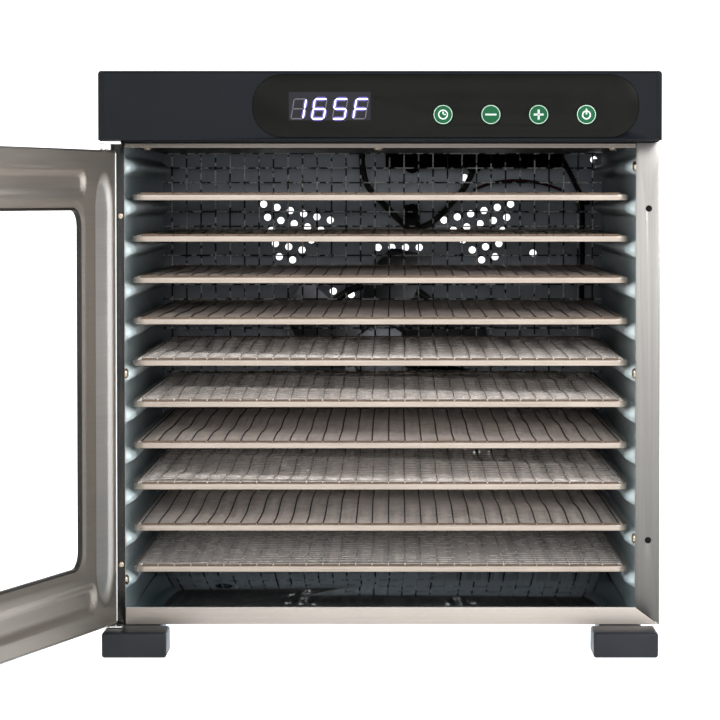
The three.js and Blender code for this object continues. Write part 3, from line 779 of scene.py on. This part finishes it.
SEGMENTS = {
    "top": (0, 1, 0), "upper_left": (-1, 0.5, 1), "upper_right": (1, 0.5, 1), "middle": (0, 0, 0),
    "lower_left": (-1, -0.5, 1), "lower_right": (1, -0.5, 1), "bottom": (0, -1, 0),
}
LIT_SEGMENTS = [
    {"upper_right", "lower_right"},
    {"top", "upper_left", "middle", "lower_left", "lower_right", "bottom"},
    {"top", "upper_left", "middle", "lower_right", "bottom"},
    {"top", "upper_left", "middle", "lower_left"},
]
DIGIT_WIDTH = 8.8
DIGIT_HEIGHT = 14.4
DIGIT_PITCH = 15.2
DIGIT_DROP = 2
DIGIT_PROUD = 0.2
GLOW_PROUD = 0.13
STROKE = 0.95
SLANT = 0.17


def segment(bm, x, z, place, stroke, proud):
    """One slanted bar of a digit with pointed ends."""
    across, up, upright = place
    length = (DIGIT_HEIGHT / 2 if upright else DIGIT_WIDTH) - 0.5
    verts = block(bm, -length / 2, length / 2, 0, 0.1, -stroke / 2, stroke / 2)
    corners = [
        edge for edge in edges_of(verts) if abs(edge.verts[0].co.y - edge.verts[1].co.y) > 0.05]
    made = bmesh.ops.bevel(
        bm, geom=corners, offset=0.47 * stroke, offset_type="OFFSET", segments=1,
        profile=0.5, affect="EDGES", clamp_overlap=True, material=-1)["verts"]
    bmesh.ops.transform(bm, matrix=Matrix.Rotation(math.pi / 2 * upright, 4, "Y"), verts=made)
    for vert in made:
        rise = vert.co.z + up * DIGIT_HEIGHT / 2
        vert.co = (x + vert.co.x + across * DIGIT_WIDTH / 2 + SLANT * rise,
                   OVERLAY_FRONT - proud + vert.co.y, z - DIGIT_DROP + rise)


def display():
    """Four digits and their glow on the lens."""
    low, high = span("display_module")
    centre = middle(low, high)
    layers = {"lit_digits": bmesh.new(), "unlit_digits": bmesh.new(), "digit_glow": bmesh.new()}
    for number, on in enumerate(LIT_SEGMENTS):
        x = centre.x + (number - 1.5) * DIGIT_PITCH
        for name, place in SEGMENTS.items():
            if name in on:
                segment(layers["lit_digits"], x, centre.z, place, STROKE, DIGIT_PROUD)
                segment(layers["digit_glow"], x, centre.z, place, 3.2 * STROKE, GLOW_PROUD)
            else:
                segment(layers["unlit_digits"], x, centre.z, place, 0.8 * STROKE, DIGIT_PROUD)
    for (name, bm), finish in zip(layers.items(), (LIT, UNLIT, HALO)):
        link_piece(name, bm, finish, "cabinet")
    bm = bmesh.new()
    verts = block(bm, low.x, high.x, OVERLAY_FRONT - 0.08, OVERLAY_FRONT + 0.3, low.z, high.z)
    round_over(bm, edges_of(verts), 0.05, 1)
    link_piece("display_lens", bm, DISPLAY_FILTER, "cabinet")
    refinish("display_module", DISPLAY_FILTER)


def mark_bar(bm, x, y, z, width, height, turn=0.0):
    """A thin printed bar."""
    verts = block(bm, -width / 2, width / 2, -0.12, 0.1, -height / 2, height / 2)
    bmesh.ops.transform(
        bm, matrix=Matrix.Translation((x, y, z)) @ Matrix.Rotation(turn, 4, "Y"), verts=verts)
    for vert in verts:
        vert.tag = True


def mark_ring(bm, x, y, z, inner, outer):
    """A thin printed ring standing a little proud."""
    lathe(bm, [(inner, 0), (outer, 0), (outer, 0.16), (inner, 0.16)],
          towards((0, -1, 0), (x, y, z)), 40, closed=True)


def keys():
    """Domed keys with a ring and a plain sign each: a clock, minus, plus and a power sign."""
    for key in ("set", "minus", "plus", "start_stop"):
        low, high = span(f"{key}_key")
        centre = middle(low, high)
        radius = (high.x - low.x) / 2
        depth = high.y - low.y
        bm = bmesh.new()
        lathe(bm, [
            (0, depth), (0.6 * radius, depth), (radius - 0.5, depth - 0.05),
            (radius - 0.12, depth - 0.22), (radius, depth - 0.6), (radius, 0), (0, 0),
        ], towards((0, -1, 0), (centre.x, high.y, centre.z)), 48)
        link_piece(f"{key}_button", bm, KEY_GREEN, f"{key}_key_cap", [f"{key}_key"])
        bm = bmesh.new()
        x, y, z = centre.x, low.y, centre.z
        mark_ring(bm, x, y, z, radius - 0.85, radius - 0.48)
        if key == "minus":
            mark_bar(bm, x, y, z, 8.2, 1.1)
        if key == "plus":
            mark_bar(bm, x, y, z, 7.2, 1.35)
            mark_bar(bm, x, y, z, 7.2, 1.35, math.pi / 2)
        if key == "start_stop":
            mark_ring(bm, x, y, z - 0.3, 2.4, 3.3)
            mark_bar(bm, x, y, z + 2.2, 1.0, 4.2)
        if key == "set":
            mark_ring(bm, x, y, z, 2.8, 3.6)
            mark_bar(bm, x, y, z + 0.9, 0.8, 2.6)
            mark_bar(bm, x + 0.8, y, z, 2.4, 0.8)
        link_piece(f"{key}_mark", bm, KEY_WHITE, f"{key}_key_cap")


PAD_LENGTH = 40
PAD_INSET = 2.5
ARM_INSET = 9


def feet():
    """A broad pad with a narrower arm behind it; the pad stands back a little on its inner side."""
    top = span("base_panel")[0].z - 0.3
    for place in ("front_left", "front_right", "rear_left", "rear_right"):
        node = f"{place}_foot"
        low, high = span(node)
        left, right = (0, PAD_INSET) if low.x < 0 else (PAD_INSET, 0)
        bm = bmesh.new()
        pad = block(bm, low.x + left, high.x - right, low.y, low.y + PAD_LENGTH, 0, top)
        round_over(bm, edges_of(pad), 2.2, 4)
        pad = set(bm.verts)
        block(bm, low.x + ARM_INSET, high.x - ARM_INSET, low.y + PAD_LENGTH - 4, high.y, 0,
              top - 0.2)
        arm = [vert for vert in bm.verts if vert not in pad]
        round_over(bm, edges_of(arm), 1.5, 3)
        link_piece(f"{place}_rubber_foot", bm, FOOT_PLASTIC, "cabinet", [node])


def hinges():
    """The hinge plates, and the plugs that the shut door rests against."""
    for node in ("upper_hinge_bracket", "lower_hinge_bracket"):
        link_piece(f"{node}_plate", softened(node, 0.4), BRIGHT_STEEL, "cabinet",
                   [node])
    for node in ("upper_jamb_bumper", "lower_jamb_bumper"):
        low, high = span(node)
        centre = middle(low, high)
        bm = bmesh.new()
        lathe(bm, [
            (0, 2.1), (1.6, 2.05), (2.3, 1.8), (2.4, 1.53), (1.8, 1.5), (1.8, 0), (3.4, 0),
            (3.4, -1.9), (0, -1.9),
        ], towards((0, -1, 0), (centre.x, 1.5, centre.z)), 24)
        link_piece(f"{node}_plug", bm, RUBBER, "cabinet", [node])


# Door leaf

liner_low, liner_high = span("door_inner_frame", DOOR)
leaf_low, leaf_high = span("door_outer_frame", DOOR)
glass_low, glass_high = span("door_glass", DOOR)
GLASS_LAP = 8
window_low = glass_low + Vector((GLASS_LAP, 0, GLASS_LAP))
window_high = glass_high - Vector((GLASS_LAP, 0, GLASS_LAP))
WINDOW_CORNER = 14
WINDOW_ROLL = 6
LINER_SHEET = 0.9
LINER_GRID = 2.1

# The liner's channels: the upright ones from the leaf's ends and hinge edge, with ends drawn out
# longer than a half round, and the level ones by their near side, far side and overhang from the
# window; then the width of their rolled edges

CHANNEL_DEPTH = 3.2
STILE_INSET = 15.5
STILE_LEFT = 1.0
STILE_RIGHT = 37.0
STILE_POINT = 1.7
STILE_ROLL = 5.5
UPPER_RAIL = (9.1, 26.6, 8)
LOWER_RAIL = (12.5, 33.5, 26)
RAIL_ROLL = 3.4


def stile_channel(x, z):
    """The wide upright channel beside the hinge, with round ends, and its twin."""
    if x > (leaf_low.x + leaf_high.x) / 2:
        x = leaf_low.x + leaf_high.x - x
    half = (STILE_RIGHT - STILE_LEFT) / 2
    low = leaf_low.z + STILE_INSET + STILE_POINT * half
    high = leaf_high.z - STILE_INSET - STILE_POINT * half
    end = max(low - z, z - high, 0) / STILE_POINT
    reach = math.hypot(x - (STILE_LEFT + STILE_RIGHT) / 2, end)
    return eased((half - reach) / STILE_ROLL)


def rail_channel(x, z):
    """The level channels above and below the window, each with round ends."""
    near, far, over = UPPER_RAIL
    upper = (window_high.z + near, window_high.z + far, window_low.x - over)
    near, far, over = LOWER_RAIL
    lower = (window_low.z - far, window_low.z - near, window_low.x - over)
    best = 0.0
    for low, high, left in (upper, lower):
        right = leaf_low.x + leaf_high.x - left
        half = (high - low) / 2
        end = max(left + half - x, x - right + half, 0)
        reach = math.hypot(z - (low + high) / 2, end)
        best = max(best, eased((half - reach) / RAIL_ROLL))
    return best


def window_roll(x, z):
    """1 at the window's edge, 0 a few millimetres outside it."""
    over = Vector((
        max(window_low.x + WINDOW_CORNER - x, x - window_high.x + WINDOW_CORNER, 0),
        max(window_low.z + WINDOW_CORNER - z, z - window_high.z + WINDOW_CORNER, 0)))
    return 1 - eased((over.length - WINDOW_CORNER) / WINDOW_ROLL)


def lines(stops, step):
    """Places from the first stop to the last, with every stop among them."""
    places = []
    for low, high in zip(stops, stops[1:]):
        count = max(1, round((high - low) / step))
        places += [low + (high - low) * i / count for i in range(count)]
    return [*places, stops[-1]]


def door_liner():
    """Pressed inner sheet: channels all round, and an edge rolled in to the window's gasket."""
    columns = lines([liner_low.x, window_low.x, window_high.x, liner_high.x], LINER_GRID)
    rows = lines([liner_low.z, window_low.z, window_high.z, liner_high.z], LINER_GRID)
    bm = bmesh.new()
    pressed = bm.verts.layers.float.new("pressed")
    bmesh.ops.create_grid(
        bm, x_segments=len(columns) - 1, y_segments=len(rows) - 1, size=0.5)
    for vert in bm.verts:
        x = columns[round((vert.co.x + 0.5) * (len(columns) - 1))]
        z = rows[round((vert.co.y + 0.5) * (len(rows) - 1))]
        vert.co = (x, 0, z)
    inside = [
        face for face in bm.faces
        if window_low.x < face.calc_center_median().x < window_high.x
        and window_low.z < face.calc_center_median().z < window_high.z]
    bmesh.ops.delete(bm, geom=inside, context="FACES")
    for vert in bm.verts:
        x, z = vert.co.x, vert.co.z
        if not (window_low.x <= x <= window_high.x and window_low.z <= z <= window_high.z):
            continue
        centre = Vector((
            min(max(x, window_low.x + WINDOW_CORNER), window_high.x - WINDOW_CORNER), 0,
            min(max(z, window_low.z + WINDOW_CORNER), window_high.z - WINDOW_CORNER)))
        off = vert.co - centre
        if off.x and off.z:
            vert.co = centre + off.normalized() * WINDOW_CORNER
    for vert in bm.verts:
        x, z = vert.co.x, vert.co.z
        stile = stile_channel(x, z)
        # The stile's channel takes the lighter tone, painted light
        vert[pressed] = stile
        sunk = max(stile, rail_channel(x, z)) * CHANNEL_DEPTH
        vert.co.y = liner_high.y - sunk - 1.3 * window_roll(x, z)
    bmesh.ops.recalc_face_normals(bm, faces=bm.faces)
    if sum(face.normal.y for face in bm.faces) < 0:
        bmesh.ops.reverse_faces(bm, faces=bm.faces)
    bm.normal_update()
    bmesh.ops.solidify(bm, geom=bm.faces, thickness=LINER_SHEET)
    bmesh.ops.recalc_face_normals(bm, faces=bm.faces)
    link_piece("door_pressed_liner", bm, DOOR_STEEL, "door", ["door_inner_frame"],
               DOOR, smooth=60)


def window_ring(name, sections, finish, replaces=()):
    """A closed ring around the window through sections of inset and depth."""
    bm = bmesh.new()
    loops = []
    for inset, depth in sections:
        face = rounded_face(
            bm, window_low.x + inset, window_high.x - inset, -window_high.z + inset,
            -window_low.z - inset, 0, WINDOW_CORNER - inset, 8)
        loop = list(face.verts)
        for vert in loop:
            vert.co = (vert.co.x, depth, -vert.co.y)
        loops.append(list(face.edges))
        bm.faces.remove(face)
    for near, far in zip(loops, loops[1:] + loops[:1]):
        bmesh.ops.bridge_loops(bm, edges=near + far)
    bmesh.ops.recalc_face_normals(bm, faces=bm.faces)
    return link_piece(name, bm, finish, "door", replaces, DOOR)


def door():
    """The leaf: skin, pressed liner, gasket, glass, handle and magnets."""
    link_piece("door_outer_skin", softened("door_outer_frame", 0.5), SKIN_STEEL, "door",
               ["door_outer_frame"])
    door_liner()
    # The hinge edge's roll, in the margin's lighter steel as a painted highlight
    x, y = leaf_low.x + 0.8, liner_high.y - 0.2
    wires("leaf_hinge_edge", [[(x, y, leaf_low.z + 2), (x, y, leaf_high.z - 2)]], 0.75,
          MARGIN_HIGHLIGHT_STEEL, "door", place=DOOR, sides=8)
    window_ring("window_gasket_ring", [
        (0.3, liner_high.y - 1.6), (0.7, liner_high.y - 0.5), (1.5, liner_high.y - 0.4),
        (2.0, liner_high.y - 0.9), (2.0, glass_high.y + 0.2), (-GLASS_LAP, glass_high.y + 0.2),
        (-GLASS_LAP - 2, liner_high.y - 2.4), (-2.0, liner_high.y - 2.4),
    ], GASKET, ["glass_gasket"])
    link_piece("window_glass", softened("door_glass", 0.3), GLASS, "door",
               ["door_glass"])
    handle()
    for name in ("upper", "lower"):
        refinish(f"{name}_door_magnet", RUBBER)


BAR_RADIUS = 6.5
POST_INSET = 21


def handle():
    """A round bar on two posts with flared feet."""
    low, high = span("door_handle", DOOR)
    bar_y = low.y + BAR_RADIUS
    x = (low.x + high.x) / 2
    bm = bmesh.new()
    length = high.z - low.z
    lathe(bm, [
        (0, length), (4.8, length), (5.9, length - 0.5), (BAR_RADIUS, length - 1.6),
        (BAR_RADIUS, 1.6), (5.9, 0.5), (4.8, 0), (0, 0),
    ], towards((0, 0, 1), (x, bar_y, low.z)), 40)
    for place in (low.z + POST_INSET, high.z - POST_INSET):
        lathe(bm, [
            (0, 0), (8.2, 0), (8.2, 1.6), (7.4, 2.4), (5.5, 2.6), (5.5, high.y - bar_y),
            (0, high.y - bar_y),
        ], towards((0, -1, 0), (x, high.y, place)), 32)
    link_piece("pull_handle", bm, BRIGHT_STEEL, "door", ["door_handle"], DOOR)


# Fan compartment

def fan_motor():
    """The motor's can with its seam and front bearing, on the strap that carries it."""
    low, high = span("fan_motor")
    axis = middle(*span("fan_motor_bracket"))
    radius = (high.x - low.x) / 2
    front = span("fan_motor_bracket")[0].y + 1.8
    bm = bmesh.new()
    back = high.y - front
    lathe(bm, [
        (0, back), (radius - 3, back), (radius - 1, back - 1.2), (radius, back - 4),
        (radius, back - 12), (radius - 1.2, back - 12.8), (radius - 1.2, back - 15),
        (radius, back - 15.8), (radius, 1.2), (radius - 1.2, 0), (11, 0), (10.6, -3.4),
        (9.6, -3.9), (3.1, -3.9), (3.0, low.y - front), (0, low.y - front),
    ], towards((0, 1, 0), (0, front, axis.z)), 48)
    link_piece("fan_motor_can", bm, FAN_METAL, "cabinet", ["fan_motor"])
    link_piece("motor_bracket_strap", softened("fan_motor_bracket", 0.35), REAR_STEEL, "cabinet",
               ["fan_motor_bracket"])


BLADES = 5


def fan_rotor():
    """Curved, twisted blades on a turned hub."""
    low, high = span("fan_rotor")
    axis = middle(*span("fan_motor_bracket")).z
    depth = middle(low, high).y
    reach = max(high.z - axis, axis - low.z)
    bm = bmesh.new()
    for number in range(BLADES):
        turn = Matrix.Rotation(2 * math.pi * number / BLADES, 4, "Y")
        verts = bmesh.ops.create_grid(bm, x_segments=14, y_segments=12, size=0.5)["verts"]
        for vert in verts:
            out, across = vert.co.x + 0.5, 2 * vert.co.y
            radius = 22 + (reach - 25) * out
            half = 15 + 10 * math.sin(math.pi * min(out * 0.85, 1))
            bend = 0.28 * out ** 1.5 + across * half * 0.93 / max(radius, 30)
            vert.co = turn @ Vector((
                radius * math.sin(bend), across * half * 0.3 + 2.4 * (1 - across ** 2) - 1,
                radius * math.cos(bend)))
    bmesh.ops.recalc_face_normals(bm, faces=bm.faces)
    bm.normal_update()
    bmesh.ops.solidify(bm, geom=bm.faces, thickness=1.0)
    for vert in bm.verts:
        vert.co += Vector((0, depth, axis))
        vert.tag = True
    lathe(bm, [
        (0, 1.5), (5, 1.5), (5.4, 0.6), (20, 0.6), (25, 0), (27, -2), (27, -8), (0, -8),
    ], towards((0, -1, 0), (0, depth - 5.5, axis)), 40)
    link_piece("fan_wheel", bm, FAN_METAL, "fan", ["fan_rotor"])


SHEATH_RADIUS = 3.2


def heater():
    """One ring of sheathed element, its two ends turned back into the rear sheet."""
    low, high = span("heating_element")
    axis = middle(*span("fan_motor_bracket")).z
    radius = high.x - SHEATH_RADIUS
    plane = low.y + SHEATH_RADIUS
    start, sweep = math.radians(-70), math.radians(320)

    def spot(share, y):
        angle = start + sweep * share
        return (radius * math.cos(angle), y, axis + radius * math.sin(angle))

    route = [spot(0, high.y), spot(0, high.y - 5)]
    route += [spot(i / 30, plane) for i in range(1, 30)]
    route += [spot(1, high.y - 5), spot(1, high.y)]
    wires("heater_ring", [smooth_route(route, 3)], SHEATH_RADIUS, HEATER_STEEL, "cabinet",
          ["heating_element"], sides=12)


def lead(name, points, radius, finish):
    """A fixed lead through places across, back and below the ceiling."""
    route = smooth_route([(x, y, CEILING - drop) for x, y, drop in points])
    wires(name, [route], radius, finish, "cabinet", sides=8)


def cables():
    """The fan's supply cable in its loop, and the short leads beside it with their saddle."""
    low, high = span("fan_cable")
    y = middle(low, high).y
    drops = [
        (-18, 0), (-18, 8), (-13, 28), (4, 47), (24, 65), (42, 61), (60, 45), (74, 27), (82, 8),
        (82, 0),
    ]
    top = high.z
    route = smooth_route([(x, y, top - drop) for x, drop in drops], 8)
    wires("fan_supply_cable", [route], 2.6, CABLE, "cabinet", ["fan_cable"],
          sides=12)
    lead("heater_lead", [
        (80, 440, 32), (96, 440, 26), (118, 440, 23.5), (140, 440, 26), (158, 440, 32),
    ], 1.3, RED_WIRE)
    lead("compartment_leads", [
        (157, 446, 0.5), (163, 446, 12), (171, 446, 28), (176, 446, 44), (176.5, 447, 90),
        (176, 448, 150),
    ], 2.2, TERMINAL)
    lead("compartment_level_lead", [
        (77, 452, 38), (110, 452, 40.5), (150, 452, 40), (190, 452, 37.5),
    ], 1.3, TERMINAL)
    bm = bmesh.new()
    verts = block(bm, 170, 183, 449, 455, CEILING - 45, CEILING - 38)
    round_over(bm, edges_of(verts), 1, 2)
    pan_head(bm, (176, 449, CEILING - 41), (0, -1, 0), 3, 2)
    link_piece("lead_saddle", bm, SCREW_BRASS, "cabinet")


BOLT_DROP = 50.9


def terminals():
    """The terminal block's cover, the cable's clamp with its washer and nut, and the inlet gland."""
    link_piece("terminal_block_cover", softened("terminal_cover", 1.6, 3), TERMINAL, "cabinet",
               ["terminal_cover"])
    low, high = span("cable_clip")
    centre = middle(low, high)
    bolt = CEILING - BOLT_DROP
    bm = softened("cable_clip", 0.4)
    for vert in bm.verts:
        vert.tag = True
    front = low.y - 0.5
    lathe(bm, [(0, 0.9), (6.3, 0.9), (6.9, 0.5), (6.9, 0), (0, 0)],
          towards((0, -1, 0), (centre.x, front + 2, bolt)), 32)
    lathe(bm, [(0, 3.6), (3.6, 3.6), (4.9, 2.8), (4.9, 0.8), (0, 0.8)],
          towards((0, -1, 0), (centre.x, front + 2, bolt)), 6)
    link_piece("cable_clamp", bm, TERMINAL, "cabinet", ["cable_clip"])
    low, high = span("power_inlet_gland")
    centre = middle(low, high)
    length = high.y - low.y
    bm = bmesh.new()
    lathe(bm, [
        (0, 7), (3.6, 7), (3.6, length), (7.4, length), (8.2, length - 0.6), (10.4, length - 7),
        (11, length - 8.4), (11, length - 11.6), (10.4, length - 12.2), (7.8, length - 12.2),
        (7.8, 0), (3.6, 0), (3.6, 5), (0, 5),
    ], towards((0, 1, 0), (centre.x, low.y, centre.z)), 40)
    link_piece("inlet_gland_nut", bm, TERMINAL, "cabinet",
               ["power_inlet_gland"])


def hidden_boards():
    """The two circuit boards inside the head."""
    for name in ("control_board", "power_board"):
        refinish(name, BOARD)


# Trays

RIM_CORNER = 9
RIM_WALL = 1.3
RIM_LEDGE = 4.4
RIM_TOP_GAP = 0.6


def tray_rim(number):
    """Folded ring with a ledge inside at mid-height that carries the mesh."""
    low, high = span(f"tray_{number}_rim")
    top = high.z - RIM_TOP_GAP
    bm = bmesh.new()
    face = rounded_face(bm, low.x, high.x, low.y, high.y, low.z, RIM_CORNER, 6)
    bmesh.ops.solidify(bm, geom=[face], thickness=low.z - top)
    bmesh.ops.recalc_face_normals(bm, faces=bm.faces)
    inner = []
    for way in (1, -1):
        face = max(bm.faces, key=lambda each: way * each.calc_center_median().z)
        bmesh.ops.inset_region(bm, faces=[face], thickness=RIM_WALL, use_even_offset=True)
        bmesh.ops.inset_region(bm, faces=[face], thickness=0.1, depth=-1.5, use_even_offset=True)
        bmesh.ops.inset_region(bm, faces=[face], thickness=RIM_LEDGE, use_even_offset=True)
        inner += list(face.edges)
        bm.faces.remove(face)
    bmesh.ops.bridge_loops(bm, edges=inner)
    bmesh.ops.recalc_face_normals(bm, faces=bm.faces)
    outside = [
        edge for edge in sharp_edges(bm, 60)
        if max(abs(vert.co.x) for vert in edge.verts) > high.x - RIM_CORNER - 0.5
        or min(vert.co.y for vert in edge.verts) < low.y + 0.1
        or max(vert.co.y for vert in edge.verts) > high.y - 0.1]
    round_over(bm, [edge for edge in outside if edge.calc_length() > 0.01], 0.6, 3)
    link_piece(f"tray_{number}_folded_rim", bm, RIM_STEEL, f"tray_{number}",
               [f"tray_{number}_rim"])


# Some trays show stout ribs, near-black as painted shade; the others show finer, light ribs both
# ways, and on trays 5 and 6 the wires are lighter as painted light, on tray 10 darker as painted
# shade

RIB_PITCH = 12.4
WIRE_PITCH = 3.5
WIRE_RADIUS = 0.42
SAG_MARGIN = 26
RIB_UP = {1, 2, 3, 4, 7, 9}
# Wire tones by tray: painted light on trays 5 and 6, painted shade on tray 10
TRAY_WIRE = {5: WIRE_PAINTED_LIGHT, 6: WIRE_PAINTED_LIGHT, 8: WIRE_STEEL, 10: WIRE_PAINTED_SHADE}


def tray_mesh(number):
    """Stout ribs front to back with finer wires woven across them, gently sagging."""
    low, high = span(f"tray_{number}_mesh")
    rim_low, rim_high = span(f"tray_{number}_rim")
    dice = random.Random(40 + number)
    waves = [
        (dice.uniform(0.4, 0.8), dice.uniform(0.004, 0.02), dice.uniform(0.018, 0.04),
         dice.uniform(0, 6.28)) for _ in range(4)]
    top = (low.z + high.z) / 2 + 0.2

    def sag(x, y):
        edge = min(x - low.x, high.x - x, y - low.y, high.y - y)
        ease = eased(edge / SAG_MARGIN)
        return top + ease * (sum(
            size * math.sin(across * x + along * y + start)
            for size, across, along, start in waves) - 0.15)

    ribs = round((high.x - low.x) / RIB_PITCH)
    crossings = round((high.y - low.y) / WIRE_PITCH)
    rib_x = [low.x + 3 + (high.x - low.x - 6) * i / ribs for i in range(ribs + 1)]
    lift = 1.1 if number in RIB_UP else 1.3
    weave = 0.45
    rib_routes = []
    for x in rib_x:
        lean = dice.uniform(-0.5, 0.5)
        rib_routes.append([
            (x + lean * math.sin(3 * share), low.y + (high.y - low.y) * share,
             sag(x, low.y + (high.y - low.y) * share) + lift)
            for share in (i / 30 for i in range(31))])
    wire_routes = []
    for j in range(crossings + 1):
        y = low.y + (high.y - low.y) * j / crossings
        bow = dice.uniform(-0.45, 0.45)
        route = [(low.x, y, sag(low.x, y))]
        for i, x in enumerate(rib_x):
            bent = y + bow * math.sin(math.pi * i / ribs) + dice.uniform(-0.12, 0.12)
            route.append((x, bent, sag(x, y) + weave * (-1) ** (i + j)))
        wire_routes.append([*route, (high.x, y, sag(high.x, y))])
    body = f"tray_{number}"
    # Stout ribs in near-black painted shade; the finer ribs are light
    rib_radius, rib_finish = (0.55, RIB_PAINTED_SHADE) if number in RIB_UP else (0.45, LIGHT_RIB)
    wires(f"tray_{number}_ribs", rib_routes, rib_radius, rib_finish, body,
          [f"tray_{number}_mesh"])
    wires(f"tray_{number}_woven_wires", wire_routes, WIRE_RADIUS,
          TRAY_WIRE.get(number, WIRE_STEEL), body, sides=4)
    if number not in RIB_UP:
        crossing = [
            [(x, y, sag(x, y) + 0.8) for x, y, z in route] for route in wire_routes[2:-1:4]]
        wires(f"tray_{number}_cross_ribs", crossing, 0.22, LIGHT_RIB, body, sides=4)

    bm = bmesh.new()
    ledge = rim_high.z - RIM_TOP_GAP + 0.15
    for y in (rim_low.y + 0.5, rim_high.y - 1.9):
        for left, right in zip(rib_x, rib_x[1:]):
            block(bm, left + 0.55, right - 0.55, y, y + 1.4, ledge, rim_high.z + 0.7)
    link_piece(f"tray_{number}_mesh_edge", bm, EDGE_STEEL, body)


# Stage and lights

FLOOR_REACH = 12
WALL_HEIGHT = 9
SWEEP_RADIUS = 4


def studio():
    """A white paper sweep under a soft white sky that is a little darker in front."""
    bm = bmesh.new()
    bmesh.ops.create_grid(bm, x_segments=1, y_segments=1, size=FLOOR_REACH)
    wall = [edge for edge in bm.edges if all(vert.co.y > 0 for vert in edge.verts)]
    raised = bmesh.ops.extrude_edge_only(bm, edges=wall)["geom"]
    for vert in raised:
        if isinstance(vert, bmesh.types.BMVert):
            vert.co.z += WALL_HEIGHT
    round_over(bm, wall, SWEEP_RADIUS, 16)
    mesh = bpy.data.meshes.new("studio_sweep")
    bm.to_mesh(mesh)
    bm.free()
    mesh.shade_smooth()
    sweep = bpy.data.objects.new("studio_sweep", mesh)
    bpy.context.scene.collection.objects.link(sweep)
    paper = Surface("white_paper").set(Roughness=0.9, Emission_Strength=0.7)
    tone = paper.ramp(paper.noise(3), (0.96, 0.96, 0.96), (0.98, 0.98, 0.98))
    paper.link(tone, "Base Color").link(tone, "Emission Color")
    mesh.materials.append(paper.material)

    world = bpy.data.worlds.new("studio_light")
    world.use_nodes = True
    bpy.context.scene.world = world
    tree = world.node_tree
    direction = tree.nodes.new("ShaderNodeTexCoord").outputs["Generated"]
    parts = tree.nodes.new("ShaderNodeSeparateXYZ")
    tree.links.new(direction, parts.inputs["Vector"])
    ramp = tree.nodes.new("ShaderNodeValToRGB")
    ramp.color_ramp.elements[0].position = 0.0
    ramp.color_ramp.elements[0].color = (0.72, 0.72, 0.74, 1)
    ramp.color_ramp.elements[1].position = 0.45
    ramp.color_ramp.elements[1].color = (1, 1, 1, 1)
    shifted = tree.nodes.new("ShaderNodeMapRange")
    shifted.inputs["From Min"].default_value = -1
    shifted.inputs["From Max"].default_value = 1
    tree.links.new(parts.outputs["Y"], shifted.inputs["Value"])
    tree.links.new(shifted.outputs["Result"], ramp.inputs["Fac"])
    tree.links.new(ramp.outputs["Color"], tree.nodes["Background"].inputs["Color"])
    tree.nodes["Background"].inputs["Strength"].default_value = 1.0


def softbox(name, place, target, width, height, power):
    """A rectangular lamp, its sides in metres and its power in watts, turned to a target."""
    data = bpy.data.lights.new(name, "AREA")
    data.shape = "RECTANGLE"
    data.size = width
    data.size_y = height
    data.energy = power
    light = bpy.data.objects.new(name, data)
    place, target = CABINET @ Vector(place), CABINET @ Vector(target)
    light.location = place
    light.rotation_euler = (target - place).to_track_quat("-Z", "Y").to_euler()
    bpy.context.scene.collection.objects.link(light)


camera()
cabinet_sheets()
rack_walls()
cabinet_screws()
rear_panel()
guard_screen()
head()
display()
keys()
feet()
hinges()
door()
fan_motor()
fan_rotor()
heater()
cables()
terminals()
hidden_boards()
for number in range(1, TRAYS + 1):
    tray_rim(number)
    tray_mesh(number)
studio()
softbox("left_softbox", (-1500, -1700, 1500), (0, 100, 200), 1.2, 1.2, 40)
softbox("right_softbox", (1500, -1700, 1300), (0, 100, 200), 1.2, 1.2, 50)
softbox("front_softbox", (0, -3100, 950), (0, 200, 200), 2.6, 1.3, 28)
bpy.context.scene.view_settings.view_transform = "Standard"
